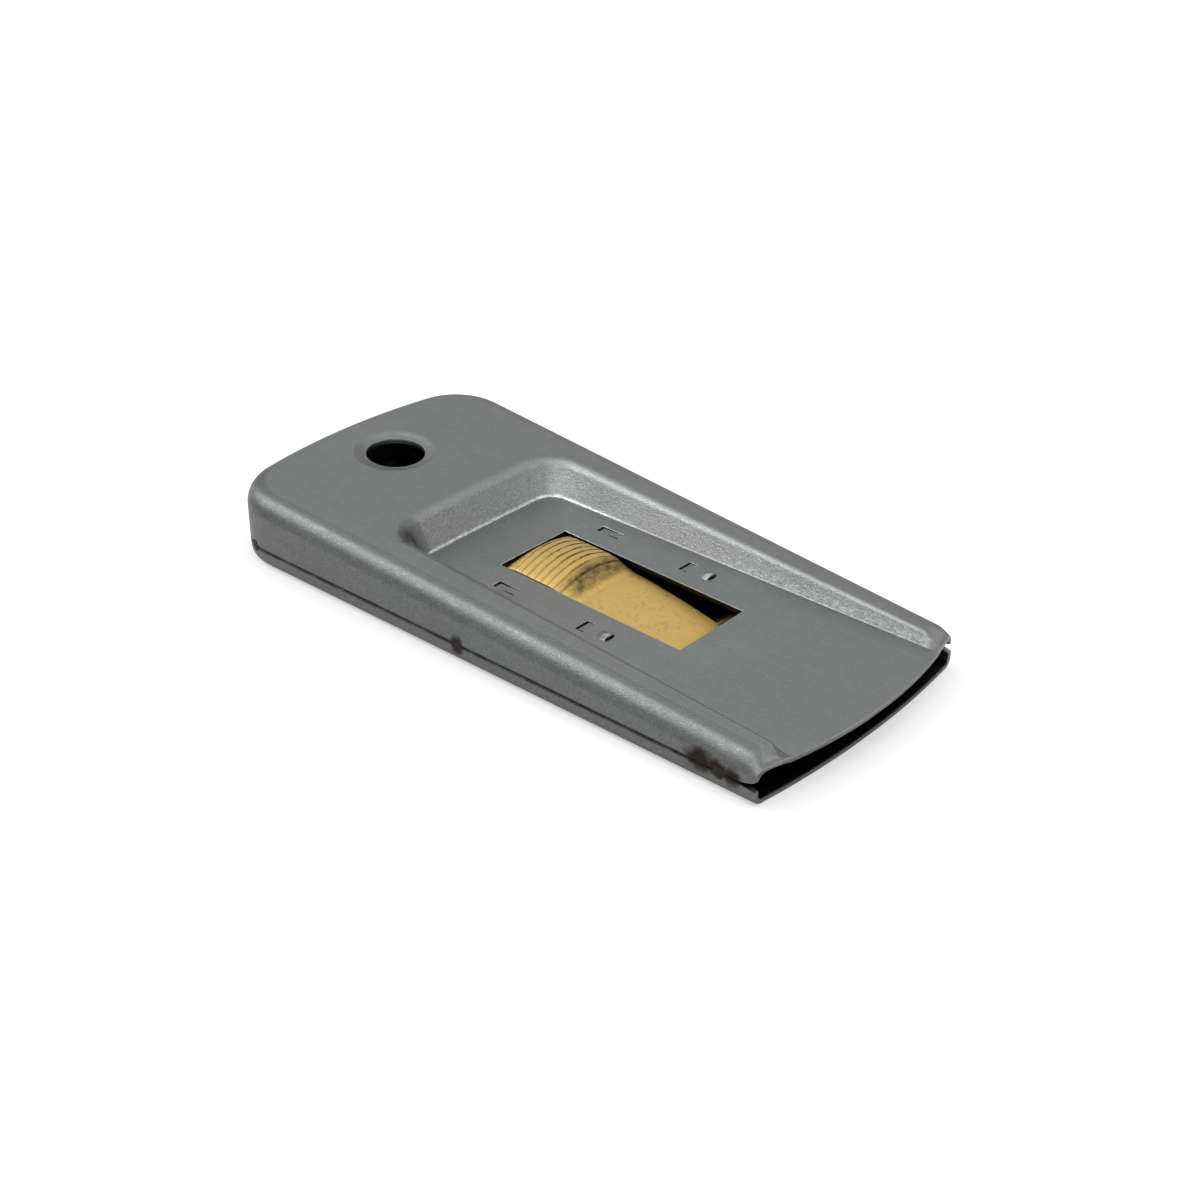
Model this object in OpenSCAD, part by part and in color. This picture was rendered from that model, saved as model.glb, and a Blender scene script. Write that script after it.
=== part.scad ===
// Razor blade scraper: a pressed steel holder with a retractable single-edge blade.
// X runs from the rear end to the blade, Y across and Z up. The holder lies on its base.

/* [Body] */
// Length of the grip, from the rear end to the recess floor's rear edge
grip_l = 32.5; // [29:0.5:45]
// Length of the recess floor ahead of the window, to the middle of the upper front edge
apron_l = 27.7; // [26.5:0.1:34]
// Amount that the body is wider at the rear end than at the front, where its sides' taper ends
side_flare = 6.6; // [2:0.2:10]
// Gap between the blade carrier and the inside of the side walls at the front edge
side_gap = 0.5; // [0.3:0.05:1]
// Rise of the top face at the rear end above the ridges at the front edge
rear_rise = 5; // [3:0.1:7]
// Thickness of the pressed sheet
sheet_t = 0.8; // [0.6:0.05:1]
// Plan radius of the two rear corners
corner_r = 9.7; // [7:0.1:12]
// Plan radius of the gently curved rear edge
rear_r = 97.5; // [70:0.5:200]
// Height of the upright skirt that the top's rolled edge leaves above the seam, at the front
skirt_h = 0.6; // [0.3:0.05:1]
// Radius of the rolled edge round the underside
base_roll_r = 1.4; // [1.1:0.05:1.7]

/* [Mouth] */
// Plan radius of the upper casing's front edge
upper_front_r = 77; // [60:1:200]
// Plan radius of the lower casing's front edge
lower_front_r = 150; // [90:1:300]
// How far the lower front edge sits behind the upper one
lower_setback = 1.4; // [0.5:0.1:2.5]
// Length of the notch that opens the seam at each front corner
notch_l = 3.8; // [3:0.1:7]
// Height that the notch takes off the upper skirt at the front
notch_rise = 0.9; // [0.6:0.1:2]
// Height that the notch takes off the lower rim at the front
notch_drop = 0.5; // [0.2:0.1:1]
// Length over which each ridge bends down to its front end
nose_l = 1.8; // [1.5:0.1:5]
// Height of each ridge above the recess floor at its front end
nose_rise = 0.3; // [0.1:0.05:0.5]
// Radius of the top's rolled edge at its front end
nose_roll_r = 2.2; // [1.2:0.1:2.2]

/* [Seam] */
// Height of the seam between the two casings
seam_z = 2.7; // [2.5:0.1:3]
// Gap in the seam at the rear end
seam_gap_rear = 0.5; // [0.2:0.05:0.6]
// Gap in the seam at the front end
seam_gap_front = 0.2; // [0.1:0.05:0.4]
// Distance of the middle pair of welds from the front edge
middle_weld_inset = 53.3; // [44:0.1:60]
// Distance between the front pair of welds and the notch ahead of them
front_weld_gap = 0.5; // [0.3:0.1:3]
// Radius of a weld nugget
weld_r = 1; // [0.7:0.05:1.1]

/* [Recess] */
// Room between the slide's leaf and the underside of the recess floor
head_room = 0.94; // [0.7:0.02:1.2]
// Rise of the two ridges above the recess floor at the front, before they bend down
ridge_rise = 1.5; // [1.2:0.1:1.8]
// Width of each ridge at the front edge, from the side of the body to the recess floor
ridge_w = 5.7; // [5.3:0.1:6.5]
// Width of recess floor outside the catches' middle lines, at its rear edge
catch_margin = 2.8; // [2.2:0.1:3.2]
// Plan radius of the recess floor's rear corners
recess_corner_r = 3; // [2:0.1:4]
// Slope of the recess wall from the level
wall_a = 60; // [50:1:70]

/* [Window] */
// Distance of the window's rear edge from the recess floor's rear edge
window_inset = 9.7; // [8.5:0.1:12]
// Length of window that stays open ahead of the pad at its full travel
window_spare = 3.1; // [1:0.1:5]
// Width of the window
window_w = 13.6; // [12.8:0.1:15]

/* [Hanging hole] */
// Distance of the hanging hole's axis from the rear end
hole_x = 13; // [11.5:0.1:15]
// Radius of the hanging hole in both casings
hole_r = 4.5; // [3.5:0.1:5]
// Width of the dimple's rim round the upper hole
dimple_w = 2.1; // [1.6:0.1:2.6]
// Depth of the dimple
dimple_depth = 0.4; // [0.3:0.05:0.8]

/* [Catches] */
// Distance of the rear catch slots from the window's rear edge
catch_inset = 3.2; // [3:0.1:3.6]
// Travel of the blade carriage, from one pair of catches to the next
travel = 16.3; // [14:0.1:18]
// Distance of the catches' middle lines from the window's sides
catch_offset = 4.2; // [3.6:0.1:4.8]
// Length of a catch slot along the body
catch_slot_l = 0.5; // [0.5:0.05:1]
// Width of a rear catch tab
rear_catch_w = 1.6; // [1.4:0.1:2]
// Width of a front catch tab
front_catch_w = 2.6; // [2.2:0.1:2.8]
// Width of the slits along a catch tab
slit_w = 0.2; // [0.15:0.05:0.3]
// Distance from a front catch slot to the raised nib ahead of it
nib_gap = 4.8; // [4:0.1:5.5]
// Radius of a nib
nib_r = 1.15; // [0.7:0.05:1.3]
// Height of a nib above the recess floor
nib_h = 0.45; // [0.3:0.05:0.6]

/* [Thumb slide] */
// Thickness of the slide's spring strip
strip_t = 0.6; // [0.5:0.05:0.65]
// Gap between the pad and the window's edges
pad_gap = 0.4; // [0.3:0.05:0.5]
// Length of the thumb pad
pad_l = 13.8; // [13:0.1:16]
// Depth of the pad's side edges below the recess floor's upper face
pad_sink = 0.1; // [0.05:0.05:0.3]
// Crown of the pad across its width
pad_crown = 1.55; // [1:0.05:1.8]
// Depth of the tongue's side edges below the recess floor's upper face, just ahead of the pad
tongue_sink = 1.35; // [1.3:0.05:1.5]
// Crown of the tongue just ahead of the pad
tongue_crown = 0.4; // [0.2:0.05:0.4]
// Amount that each side of the tongue draws in towards its foot
tongue_taper = 0.8; // [0.2:0.1:1.4]
// Width of the pad's wings outside the catches' middle lines
wing_margin = 1; // [0.7:0.1:1.3]
// Length of the wings ahead of the pad's rear edge
wing_l = 9.5; // [9:0.1:10.5]
// Length of the tail behind the pad
tail_l = 4; // [3:0.1:5]
// Gap between the wings and the underside of the recess floor
wing_gap = 0.2; // [0.15:0.05:0.3]
// Gap between a wing's tooth and the underside of the recess floor
tooth_gap = 0.05; // [0.03:0.01:0.1]
// Length of a tooth along the body
tooth_l = 0.4; // [0.3:0.05:0.45]
// Width of a tooth
tooth_w = 1; // [0.8:0.1:1.2]
// Number of grip grooves across the pad
groove_count = 8; // [5:1:10]
// Depth of a grip groove
groove_depth = 0.22; // [0.1:0.02:0.3]
// Width of a grip groove
groove_w = 0.5; // [0.3:0.05:0.6]

/* [Blade] */
// Length of the blade's cutting edge
blade_w = 38.1; // [37.6:0.1:38.4]
// Depth of the blade from its back to its edge
blade_l = 19.05; // [18.5:0.05:19.3]
// Thickness of the blade
blade_t = 0.23; // [0.2:0.01:0.3]
// Depth of the ground bevel
bevel_l = 1.4; // [1:0.1:1.8]
// Distance of the retracted edge behind the upper front edge
edge_inset = 7.2; // [6:0.1:8]
// Width of the shoulder at each rear corner of the blade
shoulder_w = 1.95; // [1.5:0.05:2.5]
// Distance from the blade's back to its shoulders
shoulder_l = 8.2; // [7.8:0.1:8.6]
// Depth of the folded back
spine_l = 4.8; // [4.4:0.1:5]
// Thickness of the folded back
spine_t = 1; // [0.8:0.05:1.2]
// Distance of the folded back's ends inside the blade's rear corners
spine_inset = 0.1; // [0:0.05:0.5]

/* [Carrier] */
// Thickness of the carrier's sheet
carrier_t = 0.6; // [0.5:0.05:0.7]
// Width of the carrier outside each end of the blade's edge
carrier_margin = 1.55; // [1.2:0.05:2]
// Height of the carrier's underside above the floor of the lower casing
carrier_lift = 0.4; // [0.3:0.05:0.6]
// Running gap under the carrier's side runners
runner_gap = 0.05; // [0.03:0.01:0.1]
// Width of each side arm
arm_w = 5.6; // [4.5:0.1:6]
// Length of the side arms behind the carrier's plate
arm_l = 16; // [10:0.5:20]
// Distance of the carrier's front edge ahead of the blade's shoulders
carrier_nose = 0.3; // [0.2:0.1:0.5]
// Width of a claw, across the body
claw_w = 0.8; // [0.6:0.05:0.9]
// Length of a claw, along the body
claw_l = 2.8; // [2.2:0.1:3]
// Gap between the claws or stops and the blade
blade_gap = 0.2; // [0.1:0.05:0.25]
// Width of a stop behind the blade's back
stop_w = 5; // [3:0.1:6]

/* [Foot and rivets] */
// Width of the slide's foot left round the rivet heads, ahead of and behind them
head_margin = 0.4; // [0.2:0.05:0.8]
// Width of the slide's foot left outside the rivet heads
foot_margin = 1.8; // [1:0.1:2.4]
// Distance of each rivet from the middle line
rivet_y = 5.6; // [5:0.1:6.2]
// Radius of a rivet's shank
rivet_r = 0.9; // [0.7:0.05:1]
// Radius of a rivet's head
rivet_head_r = 1.6; // [1.4:0.05:1.9]
// Height of a rivet's head
rivet_head_h = 0.5; // [0.4:0.05:0.6]
// Width of the leaf that holds the blade's back down
leaf_w = 8; // [7:0.2:9]
// Reach of the leaf over the blade's back
leaf_l = 4; // [3:0.1:4.4]
// Gap between the leaf and the blade's back
leaf_gap = 0.06; // [0.05:0.01:0.1]

/* [Hidden] */

// Overrun of every cut past the face that it opens
cut = 1;

// Steps along one ridge's bend, along the rest of one side, round one rear corner and along
// half the rear edge
nose_steps = 4;
plain_steps = 4;
corner_steps = 8;
rear_steps = 3;
// Steps round a rolled edge, round a fillet of the recess wall and across the slide's crown
roll_steps = 7;
fillet_steps = 5;
crown_steps = 12;
// Facets of round holes, pins and front edges
round_fn = 64;
front_fn = 360;

// Fillets at the top and the foot of the recess wall, as shares of the depth there, and the
// least radius inside the top one
wall_top_share = 0.42;
wall_foot_share = 0.1;
wall_min_r = 0.1;
// How far round the recess's rear the middle line of its floor runs, as a share
floor_fan_share = 0.5;
// Plan radius of the recess floor's rear edge, as a share of the body's
recess_rear_r_share = 4;

// Lengths along the body, from the rear end
recess_x = grip_l;
window_x = recess_x + window_inset;
window_l = pad_gap + pad_l + travel + window_spare;
body_l = window_x + window_l + apron_l;
mouth_x = body_l - lower_setback;

// Widths, from the blade outwards
carrier_w = blade_w + 2 * carrier_margin;
front_w = carrier_w + 2 * (side_gap + sheet_t);
rear_w = front_w + side_flare;

// Heights, from the base upwards
carrier_z = sheet_t + carrier_lift;
plate_z = carrier_z + carrier_t;
leaf_z = plate_z + spine_t + leaf_gap;
floor_under_z = leaf_z + strip_t + head_room;
floor_z = floor_under_z + sheet_t;
front_h = floor_z + ridge_rise;
rear_h = front_h + rear_rise;
// Radius of the rolled edge round the top face
top_roll_r = front_h - seam_z - skirt_h;

// Where the upper front edge meets the sides, and where the ridges begin to bend down to it
corner_x = body_l - upper_front_r + sqrt(upper_front_r * upper_front_r - front_w * front_w / 4);
nose_x = corner_x - nose_l;

// Stations along one side, and the index of the station on a U-shaped outline's middle line
side_steps = nose_steps + plain_steps + 1;
mid_station = side_steps + corner_steps + rear_steps;

// Catches and recess floor
catch_y = window_w / 2 + catch_offset;
rear_catch_x = window_x + catch_inset;
front_catch_x = rear_catch_x + travel;
nib_x = front_catch_x + nib_gap;
recess_rear_w = 2 * (catch_y + catch_margin);
recess_front_w = front_w - 2 * ridge_w;
// Lengths of the slits beside a rear and a front tab, as shares of the nib's distance
rear_slit_share = 0.85;
front_slit_share = 0.3;

// Hanging hole's dimple
dimple_r = hole_r + dimple_w;

// Thumb slide
pad_x = window_x + pad_gap;
pad_w = window_w - 2 * pad_gap;
pad_edge_z = floor_z - pad_sink;
wing_w = 2 * (catch_y + wing_margin);
wing_z = floor_under_z - wing_gap - strip_t;
tongue_x = pad_x + pad_l;
tongue_edge_z = floor_z - tongue_sink;
tongue_end_w = pad_w - 2 * tongue_taper;
// Height of the pad above the tongue and its crown, as shares, along shares of the pad's length
pad_shares = [
    [0, 0.45, 0.05],
    [0.05, 0.8, 0.5],
    [0.12, 0.97, 0.85],
    [0.22, 1, 1],
    [0.62, 1, 1],
    [0.72, 0.92, 0.95],
    [0.8, 0.74, 0.76],
    [0.87, 0.46, 0.44],
    [0.94, 0.16, 0.14],
    [1, 0, 0],
];
// Exponent of the tongue's bend towards its foot
tongue_bend = 1.6;
tongue_steps = 8;
// First groove, all grooves and the front end of the side walls, as shares of the pad's length
groove_start_share = 0.12;
groove_span_share = 0.75;
pad_wall_share = 0.7;
groove_pitch = pad_l * groove_span_share / groove_count;
pad_wall_steps = 7;

// Blade, its folded back and the carrier's nose
edge_x = body_l - edge_inset;
blade_x = edge_x - blade_l;
blade_z = plate_z + (spine_t - blade_t) / 2;
blade_neck_w = blade_w - 2 * shoulder_w;
shoulder_x = blade_x + shoulder_l;
carrier_nose_x = shoulder_x + carrier_nose;
spine_w = blade_neck_w - 2 * spine_inset;
// Thickness of each leaf of the folded back
spine_wall = (spine_t - blade_t) / 2;

// Foot, and the carrier's plate, which reaches two sheets' thickness behind it
foot_l = strip_t + 2 * (rivet_head_r + head_margin);
foot_w = 2 * (rivet_y + rivet_head_r + foot_margin);
foot_x = blade_x - blade_gap - foot_l;
foot_z = plate_z + strip_t;
plate_x = foot_x - carrier_t * 2;
rivet_x = foot_x + head_margin + rivet_head_r;

function lerp(a, b, t) = a + (b - a) * t;
function half_w(x) = lerp(rear_w, front_w, x / body_l) / 2;
// Share of the ridges' bend that lies behind x
function nose_share(x) = pow(max(0, min(1, (x - nose_x) / nose_l)), 2);
function ridge_z(x) = lerp(rear_h, front_h, x / body_l);
function top_z(x) = lerp(ridge_z(x), floor_z + nose_rise, nose_share(x));
function roll_r(x) = lerp(top_roll_r, nose_roll_r, nose_share(x));
function seam_gap(x) = lerp(seam_gap_rear, seam_gap_front, x / body_l);

// A station is [x, y, inward x, inward y], so that an inset outline keeps its arcs
function arc_station(centre, r, a) =
    [centre.x + r * cos(a), centre.y + r * sin(a), -cos(a), -sin(a)];
function shifted(s, d) = [s[0] + s[2] * d, s[1] + s[3] * d];
function mirrored(s) = [s[0], -s[1], s[2], -s[3]];

// Places of a side's stations, from past the front edge to where its rear corner starts
function side_xs(end) = concat(
    [body_l + cut],
    [for (i = [nose_steps:-1:0]) nose_x + nose_l * i / nose_steps],
    [for (i = [1:plain_steps - 1]) lerp(nose_x, end, i / plain_steps)]
);
// Near half of a U-shaped outline that is open at the front, from width w0 at x0 to w1 at the front edge
function u_near(x0, w0, w1, corner, rear) =
    let (
        slope = (w0 - w1) / 2 / (body_l - x0),
        a = atan(slope),
        k = w0 / 2 - corner / cos(a),
        qa = 1 + slope * slope,
        qb = rear + k * slope,
        qc = rear * rear + k * k - (rear - corner) * (rear - corner),
        cx = (qb - sqrt(qb * qb - qa * qc)) / qa,
        cy = k - slope * cx,
        rear_a = asin(cy / (rear - corner)),
        side_end = cx + corner * sin(a)
    )
    concat(
        [for (x = side_xs(x0 + side_end)) [x, slope * (x - x0) - w0 / 2, -sin(a), cos(a)]],
        [for (i = [0:corner_steps - 1])
            arc_station([x0 + cx, -cy], corner, lerp(a - 90, rear_a - 180, i / corner_steps))],
        [for (i = [0:rear_steps])
            arc_station([x0 + rear, 0], rear, lerp(rear_a - 180, -180, i / rear_steps))]
    );
function u_full(near) = concat(near, [for (i = [len(near) - 2:-1:0]) mirrored(near[i])]);

body_u = u_full(u_near(0, rear_w, front_w, corner_r, rear_r));
recess_u = u_full(
    u_near(recess_x, recess_rear_w, recess_front_w, recess_corner_r, rear_r * recess_rear_r_share)
);

// Middle line of a U-shaped skin at height z, one point for each pair of stations
function middle_line(u, z) = [
    for (i = [0:mid_station])
        let (share = max(0, i - side_steps) / (mid_station - side_steps))
        [lerp(u[min(i, side_steps)][0], u[mid_station][0], share * floor_fan_share), 0, z]
];

// Upper casing's skins: off is 0 on the outer skin and the sheet's thickness on the inner one
function skirt_ring(off) = [
    for (s = body_u)
        let (p = shifted(s, off))
        [p.x, p.y, seam_z + seam_gap(p.x) / 2]
];
function top_roll_ring(off, a) = [
    for (s = body_u)
        let (r = roll_r(s[0]), p = shifted(s, r - (r - off) * cos(a)))
        [p.x, p.y, top_z(p.x) - r + (r - off) * sin(a)]
];

// Rings of the recess wall from its top to its foot: [in the top fillet, share of the slope]
wall_rings = concat(
    [for (i = [0:fillet_steps]) [true, i / fillet_steps]],
    [for (i = [fillet_steps:-1:0]) [false, i / fillet_steps]]
);
// The wall grows flatter where the ridges bend down, and the radius inside its top fillet stays
// above the least one
function wall_ring(off, ring) = [
    for (s = recess_u)
        let (
            depth = top_z(s[0]) - floor_z,
            slope = wall_a * min(1, depth / ridge_rise),
            top_r = wall_top_share * depth,
            foot_r = wall_foot_share * depth,
            both_r = top_r + foot_r,
            run = both_r * sin(slope) + (depth - both_r * (1 - cos(slope))) / tan(slope),
            inner_r = max(top_r - off, wall_min_r),
            a = slope * ring[1],
            out = ring[0]
                ? run + (inner_r - top_r + off) * tan(slope / 2) - inner_r * sin(a)
                : (foot_r + off) * sin(a),
            rise = ring[0]
                ? depth - off - inner_r * (1 - cos(a))
                : foot_r - (foot_r + off) * cos(a),
            share = ring[0] ? 1 - wall_top_share * (1 - cos(a)) : wall_foot_share * (1 - cos(a)),
            p = shifted(s, -out)
        )
        [p.x, p.y, floor_z + rise + (top_z(p.x) - top_z(s[0])) * share]
];
function upper_skin(off) = concat(
    [skirt_ring(off)],
    [for (i = [0:roll_steps]) top_roll_ring(off, 90 * i / roll_steps)],
    [for (ring = wall_rings) wall_ring(off, ring)],
    [middle_line(recess_u, floor_z - off)]
);

// Lower casing's skins
function rim_ring(off) = [
    for (s = body_u)
        let (p = shifted(s, off))
        [p.x, p.y, seam_z - seam_gap(p.x) / 2]
];
function base_roll_ring(off, a) = [
    for (s = body_u)
        let (p = shifted(s, base_roll_r - (base_roll_r - off) * cos(a)))
        [p.x, p.y, base_roll_r - (base_roll_r - off) * sin(a)]
];
function lower_skin(off) = concat(
    [rim_ring(off)],
    [for (i = [0:roll_steps]) base_roll_ring(off, 90 * i / roll_steps)],
    [middle_line(body_u, off)]
);

// Two triangles for each quad, so that every face is flat
function split(q) = [[q[0], q[1], q[2]], [q[0], q[2], q[3]]];
function flat_list(lists) = [for (l = lists) for (v = l) v];

// Closed sheet between an upper and an under skin of U-shaped rings that end on a shared middle line
module u_sheet(upper, under) {
    n = len(upper[0]);
    rings = len(upper);
    upper_points = flat_list(upper);
    skin_n = len(upper_points);
    function at(skin, ring, i) =
        skin * skin_n + ring * n + (ring == rings - 1 ? min(i, n - 1 - i) : i);
    // The far half turns its quads, so that the two halves mirror each other
    function turned(q, far) = far ? [q[1], q[2], q[3], q[0]] : q;
    function facing(faces, down) = [for (f = faces) down ? [f[2], f[1], f[0]] : f];
    skin_faces = [
        for (skin = [0, 1])
            for (r = [0:rings - 2])
                for (i = [0:n - 2])
                    let (
                        q = turned(
                            [at(skin, r, i), at(skin, r, i + 1), at(skin, r + 1, i + 1), at(skin, r + 1, i)],
                            i >= mid_station
                        )
                    )
                    each facing(split(q), skin == 1)
    ];
    rim_faces = [
        for (i = [0:n - 2])
            each split([at(1, 0, i), at(1, 0, i + 1), at(0, 0, i + 1), at(0, 0, i)])
    ];
    end_faces = [
        for (r = [0:rings - 2])
            each concat(
                split([at(0, r, 0), at(0, r + 1, 0), at(1, r + 1, 0), at(1, r, 0)]),
                split([at(1, r, n - 1), at(1, r + 1, n - 1), at(0, r + 1, n - 1), at(0, r, n - 1)])
            )
    ];
    polyhedron(
        points = concat(upper_points, flat_list(under)),
        faces = concat(skin_faces, rim_faces, end_faces)
    );
}

// Everything is drawn from the rear end and then centred on the body's length
module placed() {
    translate([-body_l / 2, 0, 0])
        children();
}

module both_sides() {
    children();
    mirror([0, 1, 0])
        children();
}

// Upright disc of radius r whose front reaches x: what it keeps ends in a curved front edge
module behind_front(x, r) {
    translate([x - r, 0, -cut])
        cylinder(h = rear_h + 2 * cut, r = r, $fn = front_fn);
}

module hang_bore() {
    translate([hole_x, 0, -cut])
        cylinder(h = rear_h + 2 * cut, r = hole_r, $fn = round_fn);
}

// The top face slopes down towards the front by this angle
top_slope_a = atan((rear_h - front_h) / body_l);
dimple_steps = 6;
module on_top_face() {
    translate([hole_x, 0, top_z(hole_x)])
        rotate([0, top_slope_a, 0])
            children();
}
module dimple() {
    lip = [
        for (i = [0:dimple_steps])
            let (t = i / dimple_steps)
            [lerp(dimple_r, hole_r, t), -dimple_depth * (1 - cos(180 * t)) / 2]
    ];
    inside_r = hole_r - sheet_t;
    on_top_face()
        rotate_extrude($fn = round_fn)
            polygon(concat(
                lip,
                [[inside_r, -dimple_depth], [inside_r, -dimple_depth - sheet_t]],
                [for (i = [dimple_steps:-1:0]) [lip[i].x, lip[i].y - sheet_t]]
            ));
}

// Cuts that open the seam at the front corners, ever steeper towards the front edge, outside the
// rolled edges' inner ends
notch_steps = 8;
notch_x = corner_x - notch_l;
module corner_notches() {
    both_sides()
        translate([notch_x, front_w, seam_z])
            rotate([90, 0, 0])
                linear_extrude(front_w / 2 + top_roll_r)
                    polygon(concat(
                        [for (i = [0:notch_steps])
                            let (t = i / notch_steps)
                            [notch_l * t, notch_rise * t * t]],
                        [for (z = [notch_rise, -notch_drop]) [body_l + cut - notch_x, z]],
                        [for (i = [notch_steps:-1:1])
                            let (t = i / notch_steps)
                            [notch_l * t, -notch_drop * t * t]]
                    ));
}

// Places of the weld nuggets on the near side: two on the side and one on the rear corner
side_a = atan((rear_w - front_w) / 2 / body_l);
function side_station(x) = [x, -half_w(x), -sin(side_a), cos(side_a)];
weld_stations = [
    side_station(body_l - middle_weld_inset),
    side_station(notch_x - front_weld_gap - weld_r),
    body_u[side_steps + corner_steps / 4],
];
module nuggets(extra) {
    both_sides()
        for (s = weld_stations)
            translate([s[0], s[1], seam_z])
                rotate([0, 0, atan2(s[3], s[2])])
                    rotate([0, 90, 0])
                        translate([0, 0, -extra])
                            cylinder(h = sheet_t + 2 * extra, r = weld_r, $fn = round_fn);
}

// Slot and slits that free one catch tab, centred on its middle line
module catch_cut(x, w, slit_l) {
    translate([x, catch_y - w / 2, floor_under_z - cut])
        cube([catch_slot_l, w, sheet_t + 2 * cut]);
    for (side = [0, 1])
        translate([x, catch_y - w / 2 + side * (w - slit_w), floor_under_z - cut])
            cube([slit_l, slit_w, sheet_t + 2 * cut]);
}

nib_steps = 8;
module nib() {
    translate([nib_x, catch_y, floor_z])
        rotate_extrude($fn = round_fn)
            polygon(concat(
                [[0, -sheet_t / 2], [nib_r, -sheet_t / 2]],
                [for (i = [0:nib_steps])
                    let (a = 90 * i / nib_steps)
                    [nib_r * cos(a), nib_h * sin(a)]]
            ));
}

module upper_casing() {
    color([0.5, 0.51, 0.51])
        placed() {
            difference() {
                intersection() {
                    u_sheet(upper_skin(0), upper_skin(sheet_t));
                    behind_front(body_l, upper_front_r);
                }
                on_top_face()
                    translate([0, 0, -dimple_r])
                        cylinder(h = 2 * dimple_r, r = dimple_r, $fn = round_fn);
                translate([window_x, -window_w / 2, floor_under_z - cut])
                    cube([window_l, window_w, sheet_t + 2 * cut]);
                both_sides() {
                    catch_cut(rear_catch_x, rear_catch_w, nib_gap * rear_slit_share);
                    catch_cut(front_catch_x, front_catch_w, nib_gap * front_slit_share);
                }
                corner_notches();
                nuggets(cut);
            }
            both_sides()
                nib();
            difference() {
                dimple();
                hang_bore();
            }
        }
}

module lower_casing() {
    color([0.48, 0.49, 0.49])
        placed()
            difference() {
                intersection() {
                    u_sheet(lower_skin(sheet_t), lower_skin(0));
                    behind_front(mouth_x, lower_front_r);
                }
                hang_bore();
                corner_notches();
                nuggets(cut);
            }
}

module seam_welds() {
    color([0.3, 0.25, 0.22])
        placed()
            nuggets(0);
}

// Height of the slide's edges and its crown at x
function pad_row(t, i = 0) =
    t <= pad_shares[i + 1][0] || i + 2 == len(pad_shares)
        ? lerp(pad_shares[i], pad_shares[i + 1],
            (t - pad_shares[i][0]) / (pad_shares[i + 1][0] - pad_shares[i][0]))
        : pad_row(t, i + 1);
function tongue_share(x) = max(0, (x - tongue_x) / (foot_x - tongue_x));
function edge_z(x) =
    x < tongue_x
        ? lerp(tongue_edge_z, pad_edge_z, pad_row((x - pad_x) / pad_l)[1])
        : lerp(tongue_edge_z, foot_z, pow(tongue_share(x), tongue_bend));
function crown(x) =
    x < tongue_x
        ? lerp(tongue_crown, pad_crown, pad_row((x - pad_x) / pad_l)[2])
        : tongue_crown * (1 - tongue_share(x));
function strip_half(x) = lerp(pad_w, tongue_end_w, tongue_share(x)) / 2;
function strip_z(x, v) = edge_z(x) + crown(x) * (1 - v * v);

// Rows of the slide's strip: [x, depth of the groove there]
groove_x = pad_x + pad_l * groove_start_share;
groove_end_x = groove_x + (groove_count - 1) * groove_pitch + groove_w;
pad_xs = [for (row = pad_shares) pad_x + pad_l * row[0]];
strip_rows = concat(
    [for (x = pad_xs) if (x < groove_x) [x, 0]],
    [for (i = [0:groove_count - 1])
        for (side = [0, 1, 2])
            [groove_x + i * groove_pitch + side * groove_w / 2, side == 1 ? groove_depth : 0]],
    [for (x = pad_xs) if (x > groove_end_x) [x, 0]],
    [for (i = [1:tongue_steps]) [lerp(tongue_x, foot_x, i / tongue_steps), 0]]
);

// Closed sheet of the crowned strip, one row of points across it for each x
module strip_sheet() {
    n = crown_steps + 1;
    rows = len(strip_rows);
    function skin(under) = [
        for (row = strip_rows)
            for (j = [0:crown_steps])
                let (v = 2 * j / crown_steps - 1)
                [row[0], v * strip_half(row[0]), strip_z(row[0], v) - (under ? strip_t : row[1])]
    ];
    function at(under, r, j) = under * rows * n + r * n + j;
    polyhedron(
        points = concat(skin(false), skin(true)),
        faces = concat(
            [for (r = [0:rows - 2]) for (j = [0:n - 2]) each concat(
                split([at(0, r, j), at(0, r, j + 1), at(0, r + 1, j + 1), at(0, r + 1, j)]),
                split([at(1, r + 1, j), at(1, r + 1, j + 1), at(1, r, j + 1), at(1, r, j)])
            )],
            [for (r = [0:rows - 2]) each concat(
                split([at(0, r, 0), at(0, r + 1, 0), at(1, r + 1, 0), at(1, r, 0)]),
                split([at(1, r, n - 1), at(1, r + 1, n - 1), at(0, r + 1, n - 1), at(0, r, n - 1)])
            )],
            [for (j = [0:n - 2]) each concat(
                split([at(1, 0, j), at(1, 0, j + 1), at(0, 0, j + 1), at(0, 0, j)]),
                split([at(0, rows - 1, j), at(0, rows - 1, j + 1), at(1, rows - 1, j + 1), at(1, rows - 1, j)])
            )]
        )
    );
}

// Side wall that joins the pad's edge to its wing
module pad_wall() {
    wall_l = pad_l * pad_wall_share;
    translate([pad_x, pad_w / 2, 0])
        rotate([90, 0, 0])
            linear_extrude(strip_t)
                polygon(concat(
                    [[0, wing_z], [wall_l, wing_z]],
                    [for (i = [pad_wall_steps:-1:0])
                        let (x = wall_l * i / pad_wall_steps)
                        [x, edge_z(pad_x + x) - strip_t / 2]]
                ));
}

// Wall under the pad's rear edge
module pad_rear_wall() {
    translate([pad_x, 0, 0])
        rotate([90, 0, 90])
            linear_extrude(strip_t)
                polygon(concat(
                    [[pad_w / 2, wing_z], [-pad_w / 2, wing_z]],
                    [for (j = [0:crown_steps])
                        let (v = 2 * j / crown_steps - 1)
                        [v * pad_w / 2, strip_z(pad_x, v) - strip_t / 2]]
                ));
}

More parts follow.
